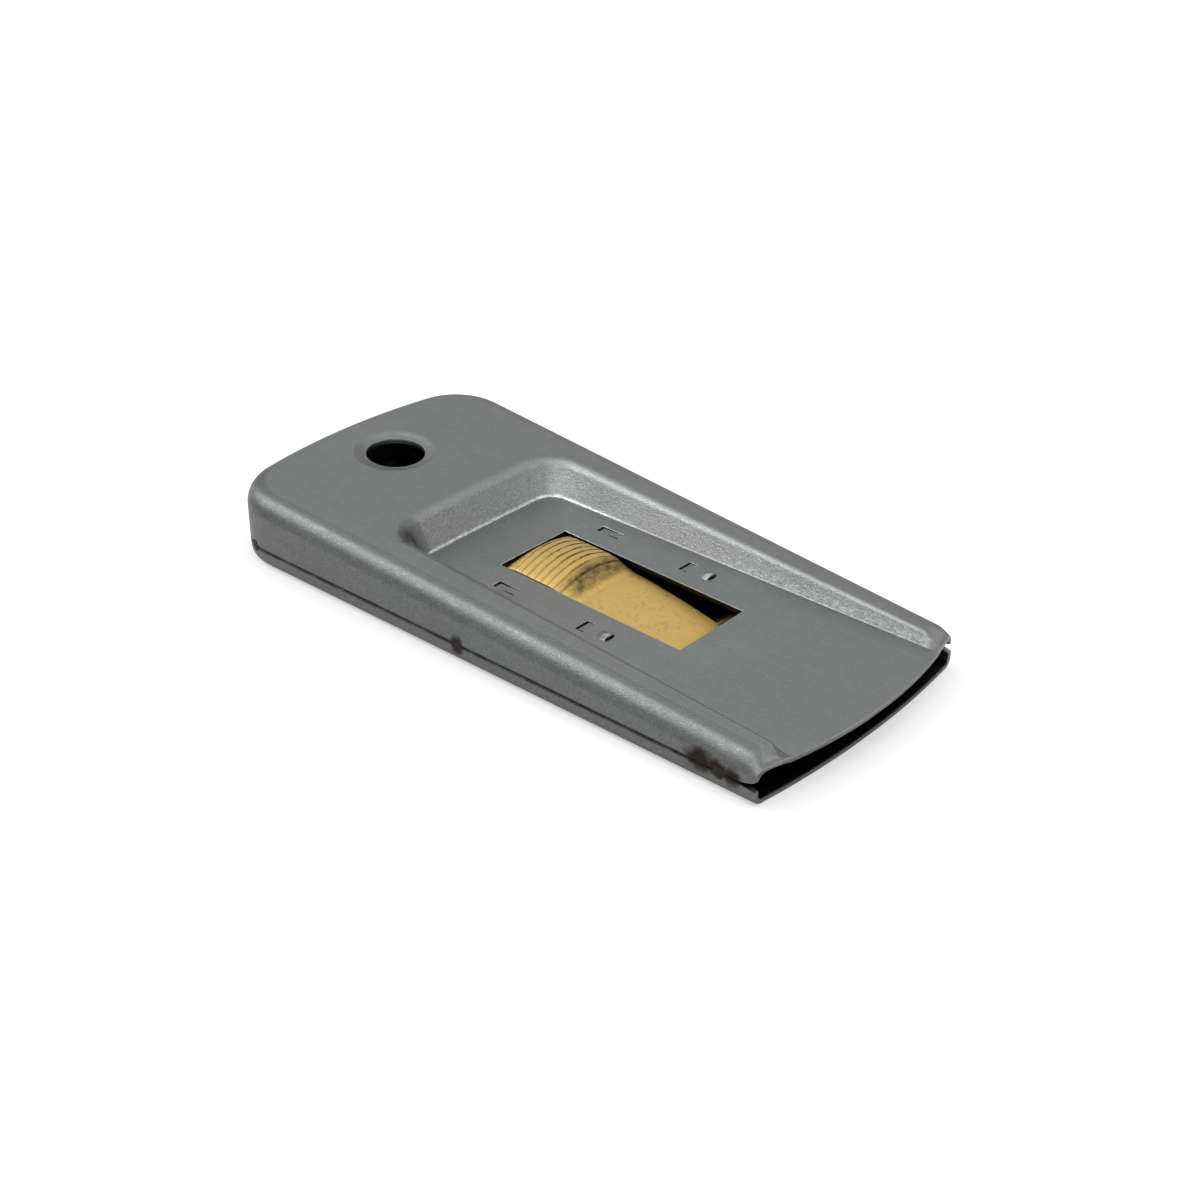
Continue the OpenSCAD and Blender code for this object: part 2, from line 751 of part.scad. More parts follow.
// Flat plate round the pad: a tail behind it and a wing on each side, with one tooth each
module wings() {
    translate([pad_x - tail_l, -wing_w / 2, wing_z])
        cube([tail_l + strip_t, wing_w, strip_t]);
    both_sides() {
        translate([pad_x, pad_w / 2 - strip_t, wing_z])
            cube([wing_l, (wing_w - pad_w) / 2 + strip_t, strip_t]);
        translate([rear_catch_x + (catch_slot_l - tooth_l) / 2, catch_y - tooth_w / 2, wing_z])
            cube([tooth_l, tooth_w, floor_under_z - tooth_gap - wing_z]);
    }
}

module thumb_slide() {
    color([0.82, 0.69, 0.38])
        placed() {
            strip_sheet();
            both_sides()
                pad_wall();
            pad_rear_wall();
            wings();
        }
}

module rivet_holes(z) {
    both_sides()
        translate([rivet_x, rivet_y, z - cut])
            cylinder(h = 2 * cut + strip_t, r = rivet_r, $fn = round_fn);
}

// Foot of the slide's strip, with the sprung leaf that holds the blade's back down
module slide_foot() {
    leaf_rise_x = foot_x + foot_l - strip_t;
    color([0.8, 0.67, 0.37])
        placed()
            difference() {
                union() {
                    translate([foot_x, -foot_w / 2, plate_z])
                        cube([foot_l, foot_w, strip_t]);
                    translate([leaf_rise_x, -leaf_w / 2, plate_z])
                        cube([strip_t, leaf_w, leaf_z + strip_t - plate_z]);
                    translate([leaf_rise_x, -leaf_w / 2, leaf_z])
                        cube([leaf_l + strip_t, leaf_w, strip_t]);
                }
                rivet_holes(plate_z);
            }
}

// Sheet carriage that the blade sits on, with side arms, runners, stops and claws
module blade_carrier() {
    half = carrier_w / 2;
    claw_y = blade_neck_w / 2 + blade_gap;
    stop_x = blade_x - blade_gap - carrier_t;
    stop_y = foot_w / 2 + blade_gap;
    claw_x = shoulder_x - blade_gap - claw_l;
    color([0.6, 0.6, 0.58])
        placed()
            difference() {
                union() {
                    intersection() {
                        translate([plate_x, -half, carrier_z])
                            cube([carrier_nose_x - plate_x, carrier_w, carrier_t]);
                        behind_front(carrier_nose_x, lower_front_r);
                    }
                    both_sides() {
                        translate([plate_x - arm_l, half - arm_w, carrier_z])
                            cube([arm_l + arm_w, arm_w, carrier_t]);
                        translate([plate_x - arm_l, half - carrier_t, sheet_t + runner_gap])
                            cube([arm_l + foot_l, carrier_t, carrier_lift - runner_gap + carrier_t]);
                        translate([stop_x, stop_y, carrier_z])
                            cube([carrier_t, stop_w, carrier_t + spine_t]);
                        translate([claw_x, claw_y, carrier_z])
                            cube([claw_l, claw_w, carrier_t + spine_t]);
                    }
                }
                rivet_holes(carrier_z);
            }
}

rivet_dome_steps = 6;
module carrier_rivets() {
    tail_h = carrier_lift / 2;
    color([0.62, 0.62, 0.6])
        placed()
            both_sides()
                translate([rivet_x, rivet_y, carrier_z])
                    rotate_extrude($fn = round_fn)
                        polygon(concat(
                            [[0, -tail_h], [rivet_head_r, -tail_h], [rivet_head_r, 0], [rivet_r, 0]],
                            [[rivet_r, carrier_t + strip_t]],
                            [for (i = [0:rivet_dome_steps])
                                let (a = 90 * i / rivet_dome_steps)
                                [rivet_head_r * cos(a), carrier_t + strip_t + rivet_head_h * sin(a)]]
                        ));
}

// Blade: a thin plate with a ground edge and its two rear corners cut away
module razor_blade() {
    back_x = blade_x + spine_wall;
    neck = (blade_w - blade_neck_w) / 2;
    color([0.78, 0.79, 0.8])
        placed()
            difference() {
                translate([0, blade_w / 2, blade_z])
                    rotate([90, 0, 0])
                        linear_extrude(blade_w)
                            polygon([
                                [back_x, 0],
                                [edge_x - bevel_l, 0],
                                [edge_x, blade_t / 2],
                                [edge_x - bevel_l, blade_t],
                                [back_x, blade_t],
                            ]);
                both_sides()
                    translate([blade_x - cut, blade_w / 2 - neck, blade_z - cut])
                        cube([shoulder_l + cut, neck + cut, blade_t + 2 * cut]);
            }
}

// Strip folded over the blade's back
module blade_spine() {
    color([0.66, 0.67, 0.68])
        placed()
            translate([blade_x, spine_w / 2, plate_z])
                rotate([90, 0, 0])
                    linear_extrude(spine_w)
                        polygon([
                            [0, 0],
                            [spine_l, 0],
                            [spine_l, spine_wall],
                            [spine_wall, spine_wall],
                            [spine_wall, spine_wall + blade_t],
                            [spine_l, spine_wall + blade_t],
                            [spine_l, spine_t],
                            [0, spine_t],
                        ]);
}

upper_casing();
lower_casing();
seam_welds();
thumb_slide();
slide_foot();
blade_carrier();
carrier_rivets();
razor_blade();
blade_spine();
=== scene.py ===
"""Razor blade scraper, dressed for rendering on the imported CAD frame.

The two pressed casings, the thumb slide and the weld nuggets are replaced by finer meshes on the
same outlines, with cut edges broken, catch tabs bent down and louvred nibs. Every length is in
millimetres from the rear end of the body, and placed() moves it to the frame, in metres.
"""
import math

import bmesh
import bpy
import numpy as np
from mathutils import Matrix, Vector


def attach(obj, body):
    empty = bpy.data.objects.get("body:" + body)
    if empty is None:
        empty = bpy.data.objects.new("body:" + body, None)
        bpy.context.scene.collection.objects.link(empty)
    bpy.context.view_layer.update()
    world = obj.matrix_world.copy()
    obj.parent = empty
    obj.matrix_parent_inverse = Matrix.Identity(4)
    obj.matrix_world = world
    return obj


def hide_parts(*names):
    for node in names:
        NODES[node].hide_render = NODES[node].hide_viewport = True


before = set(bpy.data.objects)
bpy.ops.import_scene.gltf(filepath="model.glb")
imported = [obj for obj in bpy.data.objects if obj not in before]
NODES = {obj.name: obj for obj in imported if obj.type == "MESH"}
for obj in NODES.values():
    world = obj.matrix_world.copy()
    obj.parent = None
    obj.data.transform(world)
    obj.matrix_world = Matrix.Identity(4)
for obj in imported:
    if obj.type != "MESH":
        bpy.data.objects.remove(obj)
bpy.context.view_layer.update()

scene = bpy.context.scene
scene.view_settings.view_transform = "Standard"

# ---------------------------------------------------------------- sizes, as in the CAD source
MM = 0.001
BODY_L, REAR_W, FRONT_W = 103.5, 50.4, 43.8
REAR_H, FRONT_H, SHEET_T = 11.7, 6.7, 0.8
CORNER_R, REAR_R, TOP_ROLL_R, BASE_ROLL_R = 9.7, 97.5, 3.4, 1.4
SEAM_Z, SEAM_GAP_REAR, SEAM_GAP_FRONT = 2.7, 0.5, 0.2
MOUTH_X, UPPER_FRONT_R, LOWER_FRONT_R = 102.1, 77.0, 150.0
NOTCH_L, NOTCH_RISE, NOTCH_DROP = 3.8, 0.9, 0.5
FLOOR_Z, RIDGE_RISE = 5.2, 1.5
FLOOR_UNDER_Z = FLOOR_Z - SHEET_T
NOSE_L, NOSE_RISE, NOSE_ROLL_R = 1.8, 0.3, 2.2
CORNER_X = BODY_L - UPPER_FRONT_R + math.sqrt(UPPER_FRONT_R ** 2 - FRONT_W ** 2 / 4)
NOSE_X, NOTCH_X = CORNER_X - NOSE_L, CORNER_X - NOTCH_L
RECESS_X, RECESS_REAR_W, RECESS_FRONT_W, RECESS_CORNER_R = 32.5, 27.6, 32.4, 3.0
RECESS_REAR_R = REAR_R * 4
WALL_A, WALL_TOP, WALL_FOOT, WALL_MIN_R = math.radians(60), 0.42, 0.1, 0.1
WINDOW_X, WINDOW_L, WINDOW_W = 42.2, 33.6, 13.6
HOLE_X, HOLE_R, DIMPLE_R, DIMPLE_D = 13.0, 4.5, 6.6, 0.4
CATCH_Y = 11.0
NIB_X, NIB_R, NIB_H = 66.5, 1.15, 0.45
PAD_X, PAD_L, PAD_W, PAD_EDGE_Z, PAD_CROWN = 42.6, 13.8, 12.8, 5.1, 1.55
TONGUE_X, FOOT_X, TONGUE_EDGE_Z, TONGUE_CROWN = 56.4, 72.45, 3.85, 0.4
TONGUE_END_W, TONGUE_BEND, FOOT_TOP_Z, STRIP_T = 11.2, 1.6, 2.4, 0.6
GROOVE_X, GROOVE_PITCH, GROOVE_W, GROOVES = 44.256, 1.29375, 0.5, 8
PAD_SHARES = (  # way along the pad, share of its edge's height, share of its crown
    (0, 0.45, 0.05), (0.05, 0.8, 0.5), (0.12, 0.97, 0.85), (0.22, 1, 1), (0.62, 1, 1),
    (0.72, 0.92, 0.95), (0.8, 0.74, 0.76), (0.87, 0.46, 0.44), (0.94, 0.16, 0.14), (1, 0, 0),
)
WING_W, WING_L, WING_Z, TAIL_L = 24.0, 9.5, 3.6, 4.0

# ---------------------------------------------------------------- sizes of the finer meshes
SIDES = (-1, 1)
EDGE_BREAK, WINDOW_BREAK, SLOT_BREAK, HOLE_BREAK = 0.12, 0.08, 0.05, 0.1
CATCHES = ((45.4, 1.6, 4.08, 0.2), (61.7, 2.6, 1.44, 0.12))  # x, width, slit length, drop
CATCH_SLOT, SLIT_W, TAB_ROOT = 0.42, 0.16, 0.4
NIB_BEHIND, NIB_L, NIB_SUNK, NIB_ROOT = 1.7, 2.1, 0.02, 0.3
NIB_TIP, NIB_SWELL, NIB_FULL, NIB_RISE, NIB_ROUND = 0.02, 2.4, 1.02, 1.6, 0.9  # bend its curves
NIB_MOUTH_X, NIB_MOUTH_L, NIB_MOUTH_H, NIB_MOUTH_SHARE, NIB_MOUTH_N = 0.45, 0.3, 0.2, 0.8, 32
HOLE_N, DIMPLE_N = 128, 20
RIM_BREAK, RIM_SOFT = 0.12, 0.035
GRIP_D, GRIP_REACH = 0.15, 0.2
PAD_BLUR = 0.012  # of the pad's length, rounds its bends
STRIP_BREAK, STRIP_BREAK_SHARE = 0.1, 0.025
TOOTH_X0, TOOTH_X1 = CATCHES[0][0] + 0.05, CATCHES[0][0] + 0.45
TOOTH_W, TOOTH_TOP_Z = 1.0, 4.35
TOOTH_ROOT, SIDE_WALL_ROOT, REAR_WALL_ROOT = 0.2, 0.1, 0.15  # where they start, above WING_Z
REAR_WALL_DROP, REAR_WALL_IN = 0.2, 0.1  # under the pad's top, and from its sides
SIDE_WALL_SHARE = 0.7  # of the pad's length
INSET = 0.03  # keeps the parts of the slide from sharing a plane
WITHIN = 0.9999  # keeps the sides just within the solids' facets
SLIVER = 0.001 * MM

SIDE_N, CORNER_N, REAR_N = 64, 26, 10  # stations along a side, round a corner, to the middle
CROWDING = 1.7  # brings a side's stations closer together towards the front
MID = SIDE_N + CORNER_N + REAR_N
ROLL_N, FILLET_N, FLOOR_COLS = 18, 14, 6
SEAM_TOUCH, SEAM_FADE_L = 0.03, 0.6
SEAM_BACK_SHARE, SEAM_BACK_RISE = 0.1, 0.08
EDGE_DEPTHS = (  # way through the sheet, share of the seam's gap that the edge closes there
    (0.05, 0.35), (0.14, 0.7), (0.3, 0.92), (0.45, 1.0), (0.9, 1.0),
)


def lerp(a, b, t):
    return a + (b - a) * t


def half_w(x):
    return lerp(REAR_W, FRONT_W, x / BODY_L) / 2


def nose_share(x):
    """Share of the ridges' bend down to the front that lies behind x."""
    return np.clip((x - NOSE_X) / NOSE_L, 0, 1) ** 2


def top_z(x):
    return lerp(lerp(REAR_H, FRONT_H, x / BODY_L), FLOOR_Z + NOSE_RISE, nose_share(x))


def roll_r(x):
    return lerp(TOP_ROLL_R, NOSE_ROLL_R, nose_share(x))


def notched(x):
    """Share of a notch's height at x: it grows ever steeper towards the front."""
    return np.clip((x - NOTCH_X) / NOTCH_L, 0, 1) ** 2


def seam_gap(x):
    return lerp(SEAM_GAP_REAR, SEAM_GAP_FRONT, x / BODY_L)


# ---------------------------------------------------------------- U-shaped outlines
def u_outline(x0, w0, w1, corner, rear):
    """Stations (x, y, inward x, inward y) round a U that is open at the front."""
    slope = (w0 - w1) / 2 / (BODY_L - x0)
    a = math.atan(slope)
    k = w0 / 2 - corner / math.cos(a)
    qa = 1 + slope * slope
    qb = rear + k * slope
    qc = rear * rear + k * k - (rear - corner) ** 2
    cx = (qb - math.sqrt(qb * qb - qa * qc)) / qa
    cy = k - slope * cx
    rear_a = math.asin(cy / (rear - corner))
    side_end = cx + corner * math.sin(a)

    def arc(px, py, r, t):
        return (px + r * math.cos(t), py + r * math.sin(t), -math.cos(t), -math.sin(t))

    near = []
    for i in range(SIDE_N):
        x = lerp(BODY_L - x0, side_end, (i / SIDE_N) ** CROWDING)
        near.append((x0 + x, slope * x - w0 / 2, -math.sin(a), math.cos(a)))
    for i in range(CORNER_N):
        t = lerp(a - math.pi / 2, rear_a - math.pi, i / CORNER_N)
        near.append(arc(x0 + cx, -cy, corner, t))
    for i in range(REAR_N + 1):
        near.append(arc(x0 + rear, 0, rear, lerp(rear_a - math.pi, -math.pi, i / REAR_N)))
    far = [(s[0], -s[1], s[2], -s[3]) for s in reversed(near[:-1])]
    return np.array(near + far)


BODY_U = u_outline(0, REAR_W, FRONT_W, CORNER_R, REAR_R)
RECESS_U = u_outline(RECESS_X, RECESS_REAR_W, RECESS_FRONT_W, RECESS_CORNER_R, RECESS_REAR_R)
N = len(BODY_U)
# Share of each station's way from where the side starts to the front edge
FRONT_SHARE = np.array([1 - min(1, min(i, N - 1 - i) / SIDE_N) ** CROWDING for i in range(N)])


def front_x(y, x, r):
    return x - r + np.sqrt(r * r - y * y)


def ring_of(u, mouth, r, at):
    """One ring, its sides run to the curved front edge.

    at(x) gives how far stations lie inside the outline, how high, and how much they follow
    the top face.
    """
    x0, y0, x1, y1 = u[0, 0], u[0, 1], u[SIDE_N, 0], u[SIDE_N, 1]
    goal = x0
    for _ in range(6):
        inward = float(at(np.array([goal]))[0][0])
        gy = lerp(y1, y0, (goal - x1) / (x0 - x1)) + u[0, 3] * inward
        goal = float(front_x(gy, mouth, r)) - EDGE_BREAK - u[0, 2] * inward
    x = np.where(FRONT_SHARE > 0, lerp(x1, goal, FRONT_SHARE), u[:, 0])
    side = np.where(np.arange(N) < MID, 1, -1)
    y = np.where(FRONT_SHARE > 0, lerp(y1, y0, (x - x1) / (x0 - x1)) * side, u[:, 1])
    inward, height, share = at(x)
    px, py = x + u[:, 2] * inward, y + u[:, 3] * inward
    return np.stack([px, py, height + (top_z(px) - top_z(x)) * share], 1)


# ---------------------------------------------------------------- meshes
def placed(points):
    """Points in millimetres from the rear end, as metres in the frame."""
    pts = np.array(points, float)
    pts[:, 0] -= BODY_L / 2
    pts[:, 1] *= WITHIN
    return (pts * MM).tolist()


def solid(points, faces, name="solid"):
    mesh = bpy.data.meshes.new(name)
    mesh.from_pydata(placed(points), [], faces)
    bm = bmesh.new()
    bm.from_mesh(mesh)
    bmesh.ops.recalc_face_normals(bm, faces=bm.faces)
    bm.to_mesh(mesh)
    bm.free()
    obj = bpy.data.objects.new(name, mesh)
    scene.collection.objects.link(obj)
    return obj


def joined(solids):
    """One (points, faces) of several."""
    points, faces = [], []
    for pts, fcs in solids:
        base = len(points)
        points += [tuple(p) for p in pts]
        faces += [tuple(base + i for i in f) for f in fcs]
    return points, faces


def combine(obj, operation, solids):
    """Joins closed solids, which don't touch each other, to obj or cuts them out of it."""
    tool = solid(*joined(solids), name="tool")
    mod = obj.modifiers.new("combine", "BOOLEAN")
    mod.operation = operation
    mod.solver = "EXACT"
    mod.object = tool
    bpy.context.view_layer.update()
    depsgraph = bpy.context.evaluated_depsgraph_get()
    result = bpy.data.meshes.new_from_object(obj.evaluated_get(depsgraph))
    obj.modifiers.remove(mod)
    obj.data = result
    bpy.data.objects.remove(tool)


def without_slivers(mesh):
    """Takes out the slivers that Booleans leave, and the doubled faces that they fold into."""
    bm = bmesh.new()
    bm.from_mesh(mesh)
    bmesh.ops.remove_doubles(bm, verts=bm.verts, dist=SLIVER)
    bmesh.ops.dissolve_degenerate(bm, dist=SLIVER, edges=bm.edges)
    bmesh.ops.triangulate(bm, faces=[face for face in bm.faces if len(face.verts) > 4])
    corners = {}
    for face in bm.faces:
        corners.setdefault(frozenset(face.verts), []).append(face)
    doubled = [face for group in corners.values() if len(group) > 1 for face in group]
    bmesh.ops.delete(bm, geom=doubled, context="FACES")
    bm.to_mesh(mesh)
    bm.free()


def piece(obj, body, mat, replaces, smooth_deg=32):
    """Finishes a mesh and hands it to the frame in place of a node."""
    mesh = obj.data
    without_slivers(mesh)
    mesh.materials.clear()
    mesh.materials.append(mat)
    mesh.polygons.foreach_set("use_smooth", [True] * len(mesh.polygons))
    mesh.set_sharp_from_angle(angle=math.radians(smooth_deg))
    mod = obj.modifiers.new("weights", "WEIGHTED_NORMAL")
    mod.keep_sharp = True
    mod.weight = 100
    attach(obj, body)
    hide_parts(replaces)


def band(faces, a, b, n, closed=False):
    """Quads between two rows of n points that start at a and b."""
    for i in range(n if closed else n - 1):
        j = (i + 1) % n
        faces.append((a + i, a + j, b + j, b + i))


def floor_columns(foot, mouth, r, z, drawn_back):
    """Rings of a flat floor, from the ring at its foot towards its middle."""
    rings = []
    for c in range(1, FLOOR_COLS):
        share = c / FLOOR_COLS
        px, py = foot[:, 0].copy(), foot[:, 1] * (1 - share)
        for i in range(N):
            k = min(i, N - 1 - i)
            if k > SIDE_N:
                f = (k - SIDE_N) / (MID - SIDE_N)
                px[i] = lerp(px[i], lerp(foot[SIDE_N, 0], foot[MID, 0], 0.5 * f), share)
        limit = front_x(py, mouth, r) - drawn_back
        px = np.where(FRONT_SHARE > 0, lerp(foot[SIDE_N, 0], limit, FRONT_SHARE), px)
        rings.append(np.stack([px, py, np.full(N, z)], 1))
    return rings


def upper_rings(off):
    """Rings of one skin of the upper casing, from the seam over the roll to the recess floor."""
    def roll(q):
        def at(x):
            full = roll_r(x)
            r, spring = full - off, top_z(x) - full
            start = np.maximum(SEAM_Z + seam_gap(x) / 2, SEAM_Z + notched(x) * NOTCH_RISE)
            skirt = np.maximum(spring - start, 0)
            a0 = np.arcsin(np.clip((start - spring) / r, 0, 0.9))
            s = (skirt + r * (math.pi / 2 - a0)) * q
            a = np.where(s < skirt, 0, a0 + (s - skirt) / r)
            height = np.where(s < skirt, start + s, spring + r * np.sin(a))
            return full - r * np.cos(a), height, np.sin(a)
        return at

    def wall(top, t):
        def at(x):
            depth = top_z(x) - FLOOR_Z
            slope = WALL_A * np.minimum(1, depth / RIDGE_RISE)
            top_r, foot_r = WALL_TOP * depth, WALL_FOOT * depth
            both = top_r + foot_r
            run = both * np.sin(slope) + (depth - both * (1 - np.cos(slope))) / np.tan(slope)
            inner_r = np.maximum(top_r - off, WALL_MIN_R)
            a = slope * t
            if top:
                out = run + (inner_r - top_r + off) * np.tan(slope / 2) - inner_r * np.sin(a)
                rise = depth - off - inner_r * (1 - np.cos(a))
                share = 1 - WALL_TOP * (1 - np.cos(a))
            else:
                out = (foot_r + off) * np.sin(a)
                rise = foot_r - (foot_r + off) * np.cos(a)
                share = WALL_FOOT * (1 - np.cos(a))
            return -out, FLOOR_Z + rise, share
        return at

    rings = [ring_of(BODY_U, BODY_L, UPPER_FRONT_R, roll(i / ROLL_N)) for i in range(ROLL_N + 1)]
    steps = [(True, i / FILLET_N) for i in range(FILLET_N + 1)]
    steps += [(False, i / FILLET_N) for i in range(FILLET_N, -1, -1)]
    rings += [ring_of(RECESS_U, BODY_L, UPPER_FRONT_R, wall(*step)) for step in steps]
    return rings + floor_columns(rings[-1], BODY_L, UPPER_FRONT_R, FLOOR_Z - off, EDGE_BREAK)


def lower_rings(off):
    """Rings of one skin of the lower casing, from the seam round the rolled edge to its floor."""
    r = BASE_ROLL_R - off

    def rim(x):
        height = np.minimum(SEAM_Z - seam_gap(x) / 2, SEAM_Z - notched(x) * NOTCH_DROP)
        return off + 0 * x, height, 0

    def roll(a):
        inward, height = BASE_ROLL_R - r * math.cos(a), BASE_ROLL_R - r * math.sin(a)
        return lambda x: (inward + 0 * x, height + 0 * x, 0)

    forms = [rim] + [roll(math.pi / 2 * i / (ROLL_N - 1)) for i in range(ROLL_N)]
    rings = [ring_of(BODY_U, MOUTH_X, LOWER_FRONT_R, form) for form in forms]
    return rings + floor_columns(rings[-1], MOUTH_X, LOWER_FRONT_R, off, EDGE_BREAK)


def shell(outer, inner, mouth, r):
    """Closed sheet between two skins, with a rounded seam edge and a broken front edge."""
    away = 1 if outer[0][MID, 2] > SEAM_Z else -1
    room = np.abs(outer[0][:, 2] - SEAM_Z) - SEAM_TOUCH
    open_end = np.clip((outer[0][:, 0] - NOTCH_X) / SEAM_FADE_L, 0, 1)
    edge = []
    for depth, closing in EDGE_DEPTHS:
        ring = lerp(outer[0], inner[0], depth)
        ring[:, 2] -= away * room * closing * (1 - open_end)
        edge.append(ring)
    behind = (inner[0] - outer[0]) * SEAM_BACK_SHARE
    inner = [edge[-1] + behind + np.array([0, 0, away * SEAM_BACK_RISE])] + inner[1:]
    rings = outer[::-1] + edge + inner
    m, e, total = len(outer), len(edge), len(rings)
    points = [tuple(p) for ring in rings for p in ring]
    faces = []
    for k in range(total - 1):
        band(faces, k * N, (k + 1) * N, N)
    for a in (0, (total - 1) * N):
        for i in range(MID - 1):
            faces.append((a + i, a + i + 1, a + N - 2 - i, a + N - 1 - i))
        faces.append((a + MID - 1, a + MID, a + MID + 1))
    near_up = [(m - 1 - k) * N for k in range(m)]
    near_un = [(m + e + k) * N for k in range(m)]
    chain = [near_up + [i + N - 1 for i in near_up[::-1]]]
    under = near_un + [i + N - 1 for i in near_un[::-1]]
    for t in (EDGE_BREAK / SHEET_T, 1 - EDGE_BREAK / SHEET_T):
        row = []
        for a, b in zip(chain[0], under):
            p = lerp(np.array(points[a]), np.array(points[b]), t)
            row.append(len(points))
            points.append((float(front_x(p[1], mouth, r)), p[1], p[2]))
        chain.append(row)
    chain.append(under)
    for a, b in zip(chain, chain[1:]):
        for i in range(len(a) - 1):
            faces.append((a[i], a[i + 1], b[i + 1], b[i]))
    for i, side in ((0, 0), (-1, N - 1)):
        seam = [(m + k) * N + side for k in range(e)]
        faces.append(tuple([row[i] for row in chain] + seam[::-1]))
    return points, faces


# ---------------------------------------------------------------- cutters and small forms
OVERCUT = 1  # how far cutters reach beyond the sheet


def loft(rings):
    """Closed solid through matched rings of points."""
    n = len(rings[0])
    points = [tuple(p) for ring in rings for p in ring]
    faces = [tuple(range(n))[::-1], tuple(range((len(rings) - 1) * n, len(rings) * n))]
    for k in range(len(rings) - 1):
        band(faces, k * n, (k + 1) * n, n, closed=True)
    return points, faces


def prism(outline, levels):
    """Loft of an outline: (z, outward growth) for each ring."""
    outline = np.array(outline, float)
    e1 = np.roll(outline, -1, 0) - outline
    e2 = outline - np.roll(outline, 1, 0)
    n1 = np.stack([e1[:, 1], -e1[:, 0]], 1) / np.linalg.norm(e1, axis=1)[:, None]
    n2 = np.stack([e2[:, 1], -e2[:, 0]], 1) / np.linalg.norm(e2, axis=1)[:, None]
    mitre = (n1 + n2) / (1 + (n1 * n2).sum(1))[:, None]
    count = len(outline)
    return loft([np.column_stack([outline + mitre * g, np.full(count, z)]) for z, g in levels])


def flared(outline, z_top, z_under, b):
    """Cutter through a sheet, that breaks the edges of what it opens by b."""
    return prism(outline, [
        (z_under - OVERCUT, b + OVERCUT), (z_under, b), (z_under + b, 0),
        (z_top - b, 0), (z_top, b), (z_top + OVERCUT, b + OVERCUT),
    ])


def bossed(outline, z0, z1, b=0.08):
    """Plate with its edges broken by b."""
    return prism(outline, [(z0, -b), (z0 + b, 0), (z1 - b, 0), (z1, -b)])


def rect(x0, x1, y0, y1):
    return [(x0, y0), (x1, y0), (x1, y1), (x0, y1)]


def oval(cx, cy, rx, ry, n):
    turn = 2 * math.pi / n
    return [(cx + rx * math.cos(turn * i), cy + ry * math.sin(turn * i)) for i in range(n)]


def grid(point, nu, nv):
    """Closed solid under a grid of points: point(u, v) gives its upper and its lower point."""
    top, low, faces = [], [], []
    for i in range(nu + 1):
        for j in range(nv + 1):
            a, b = point(i / nu, j / nv)
            top.append(a)
            low.append(b)
    n, base = nv + 1, len(top)
    for i in range(nu):
        for j in range(nv):
            q = (i * n + j, (i + 1) * n + j, (i + 1) * n + j + 1, i * n + j + 1)
            faces.append(q)
            faces.append(tuple(base + k for k in q[::-1]))
    rim = [i * n for i in range(nu + 1)] + [nu * n + j for j in range(1, n)]
    rim += [i * n + nv for i in range(nu - 1, -1, -1)] + [j for j in range(nv - 1, 0, -1)]
    for a, b in zip(rim, rim[1:] + rim[:1]):
        faces.append((a, b, base + b, base + a))
    return top + low, faces


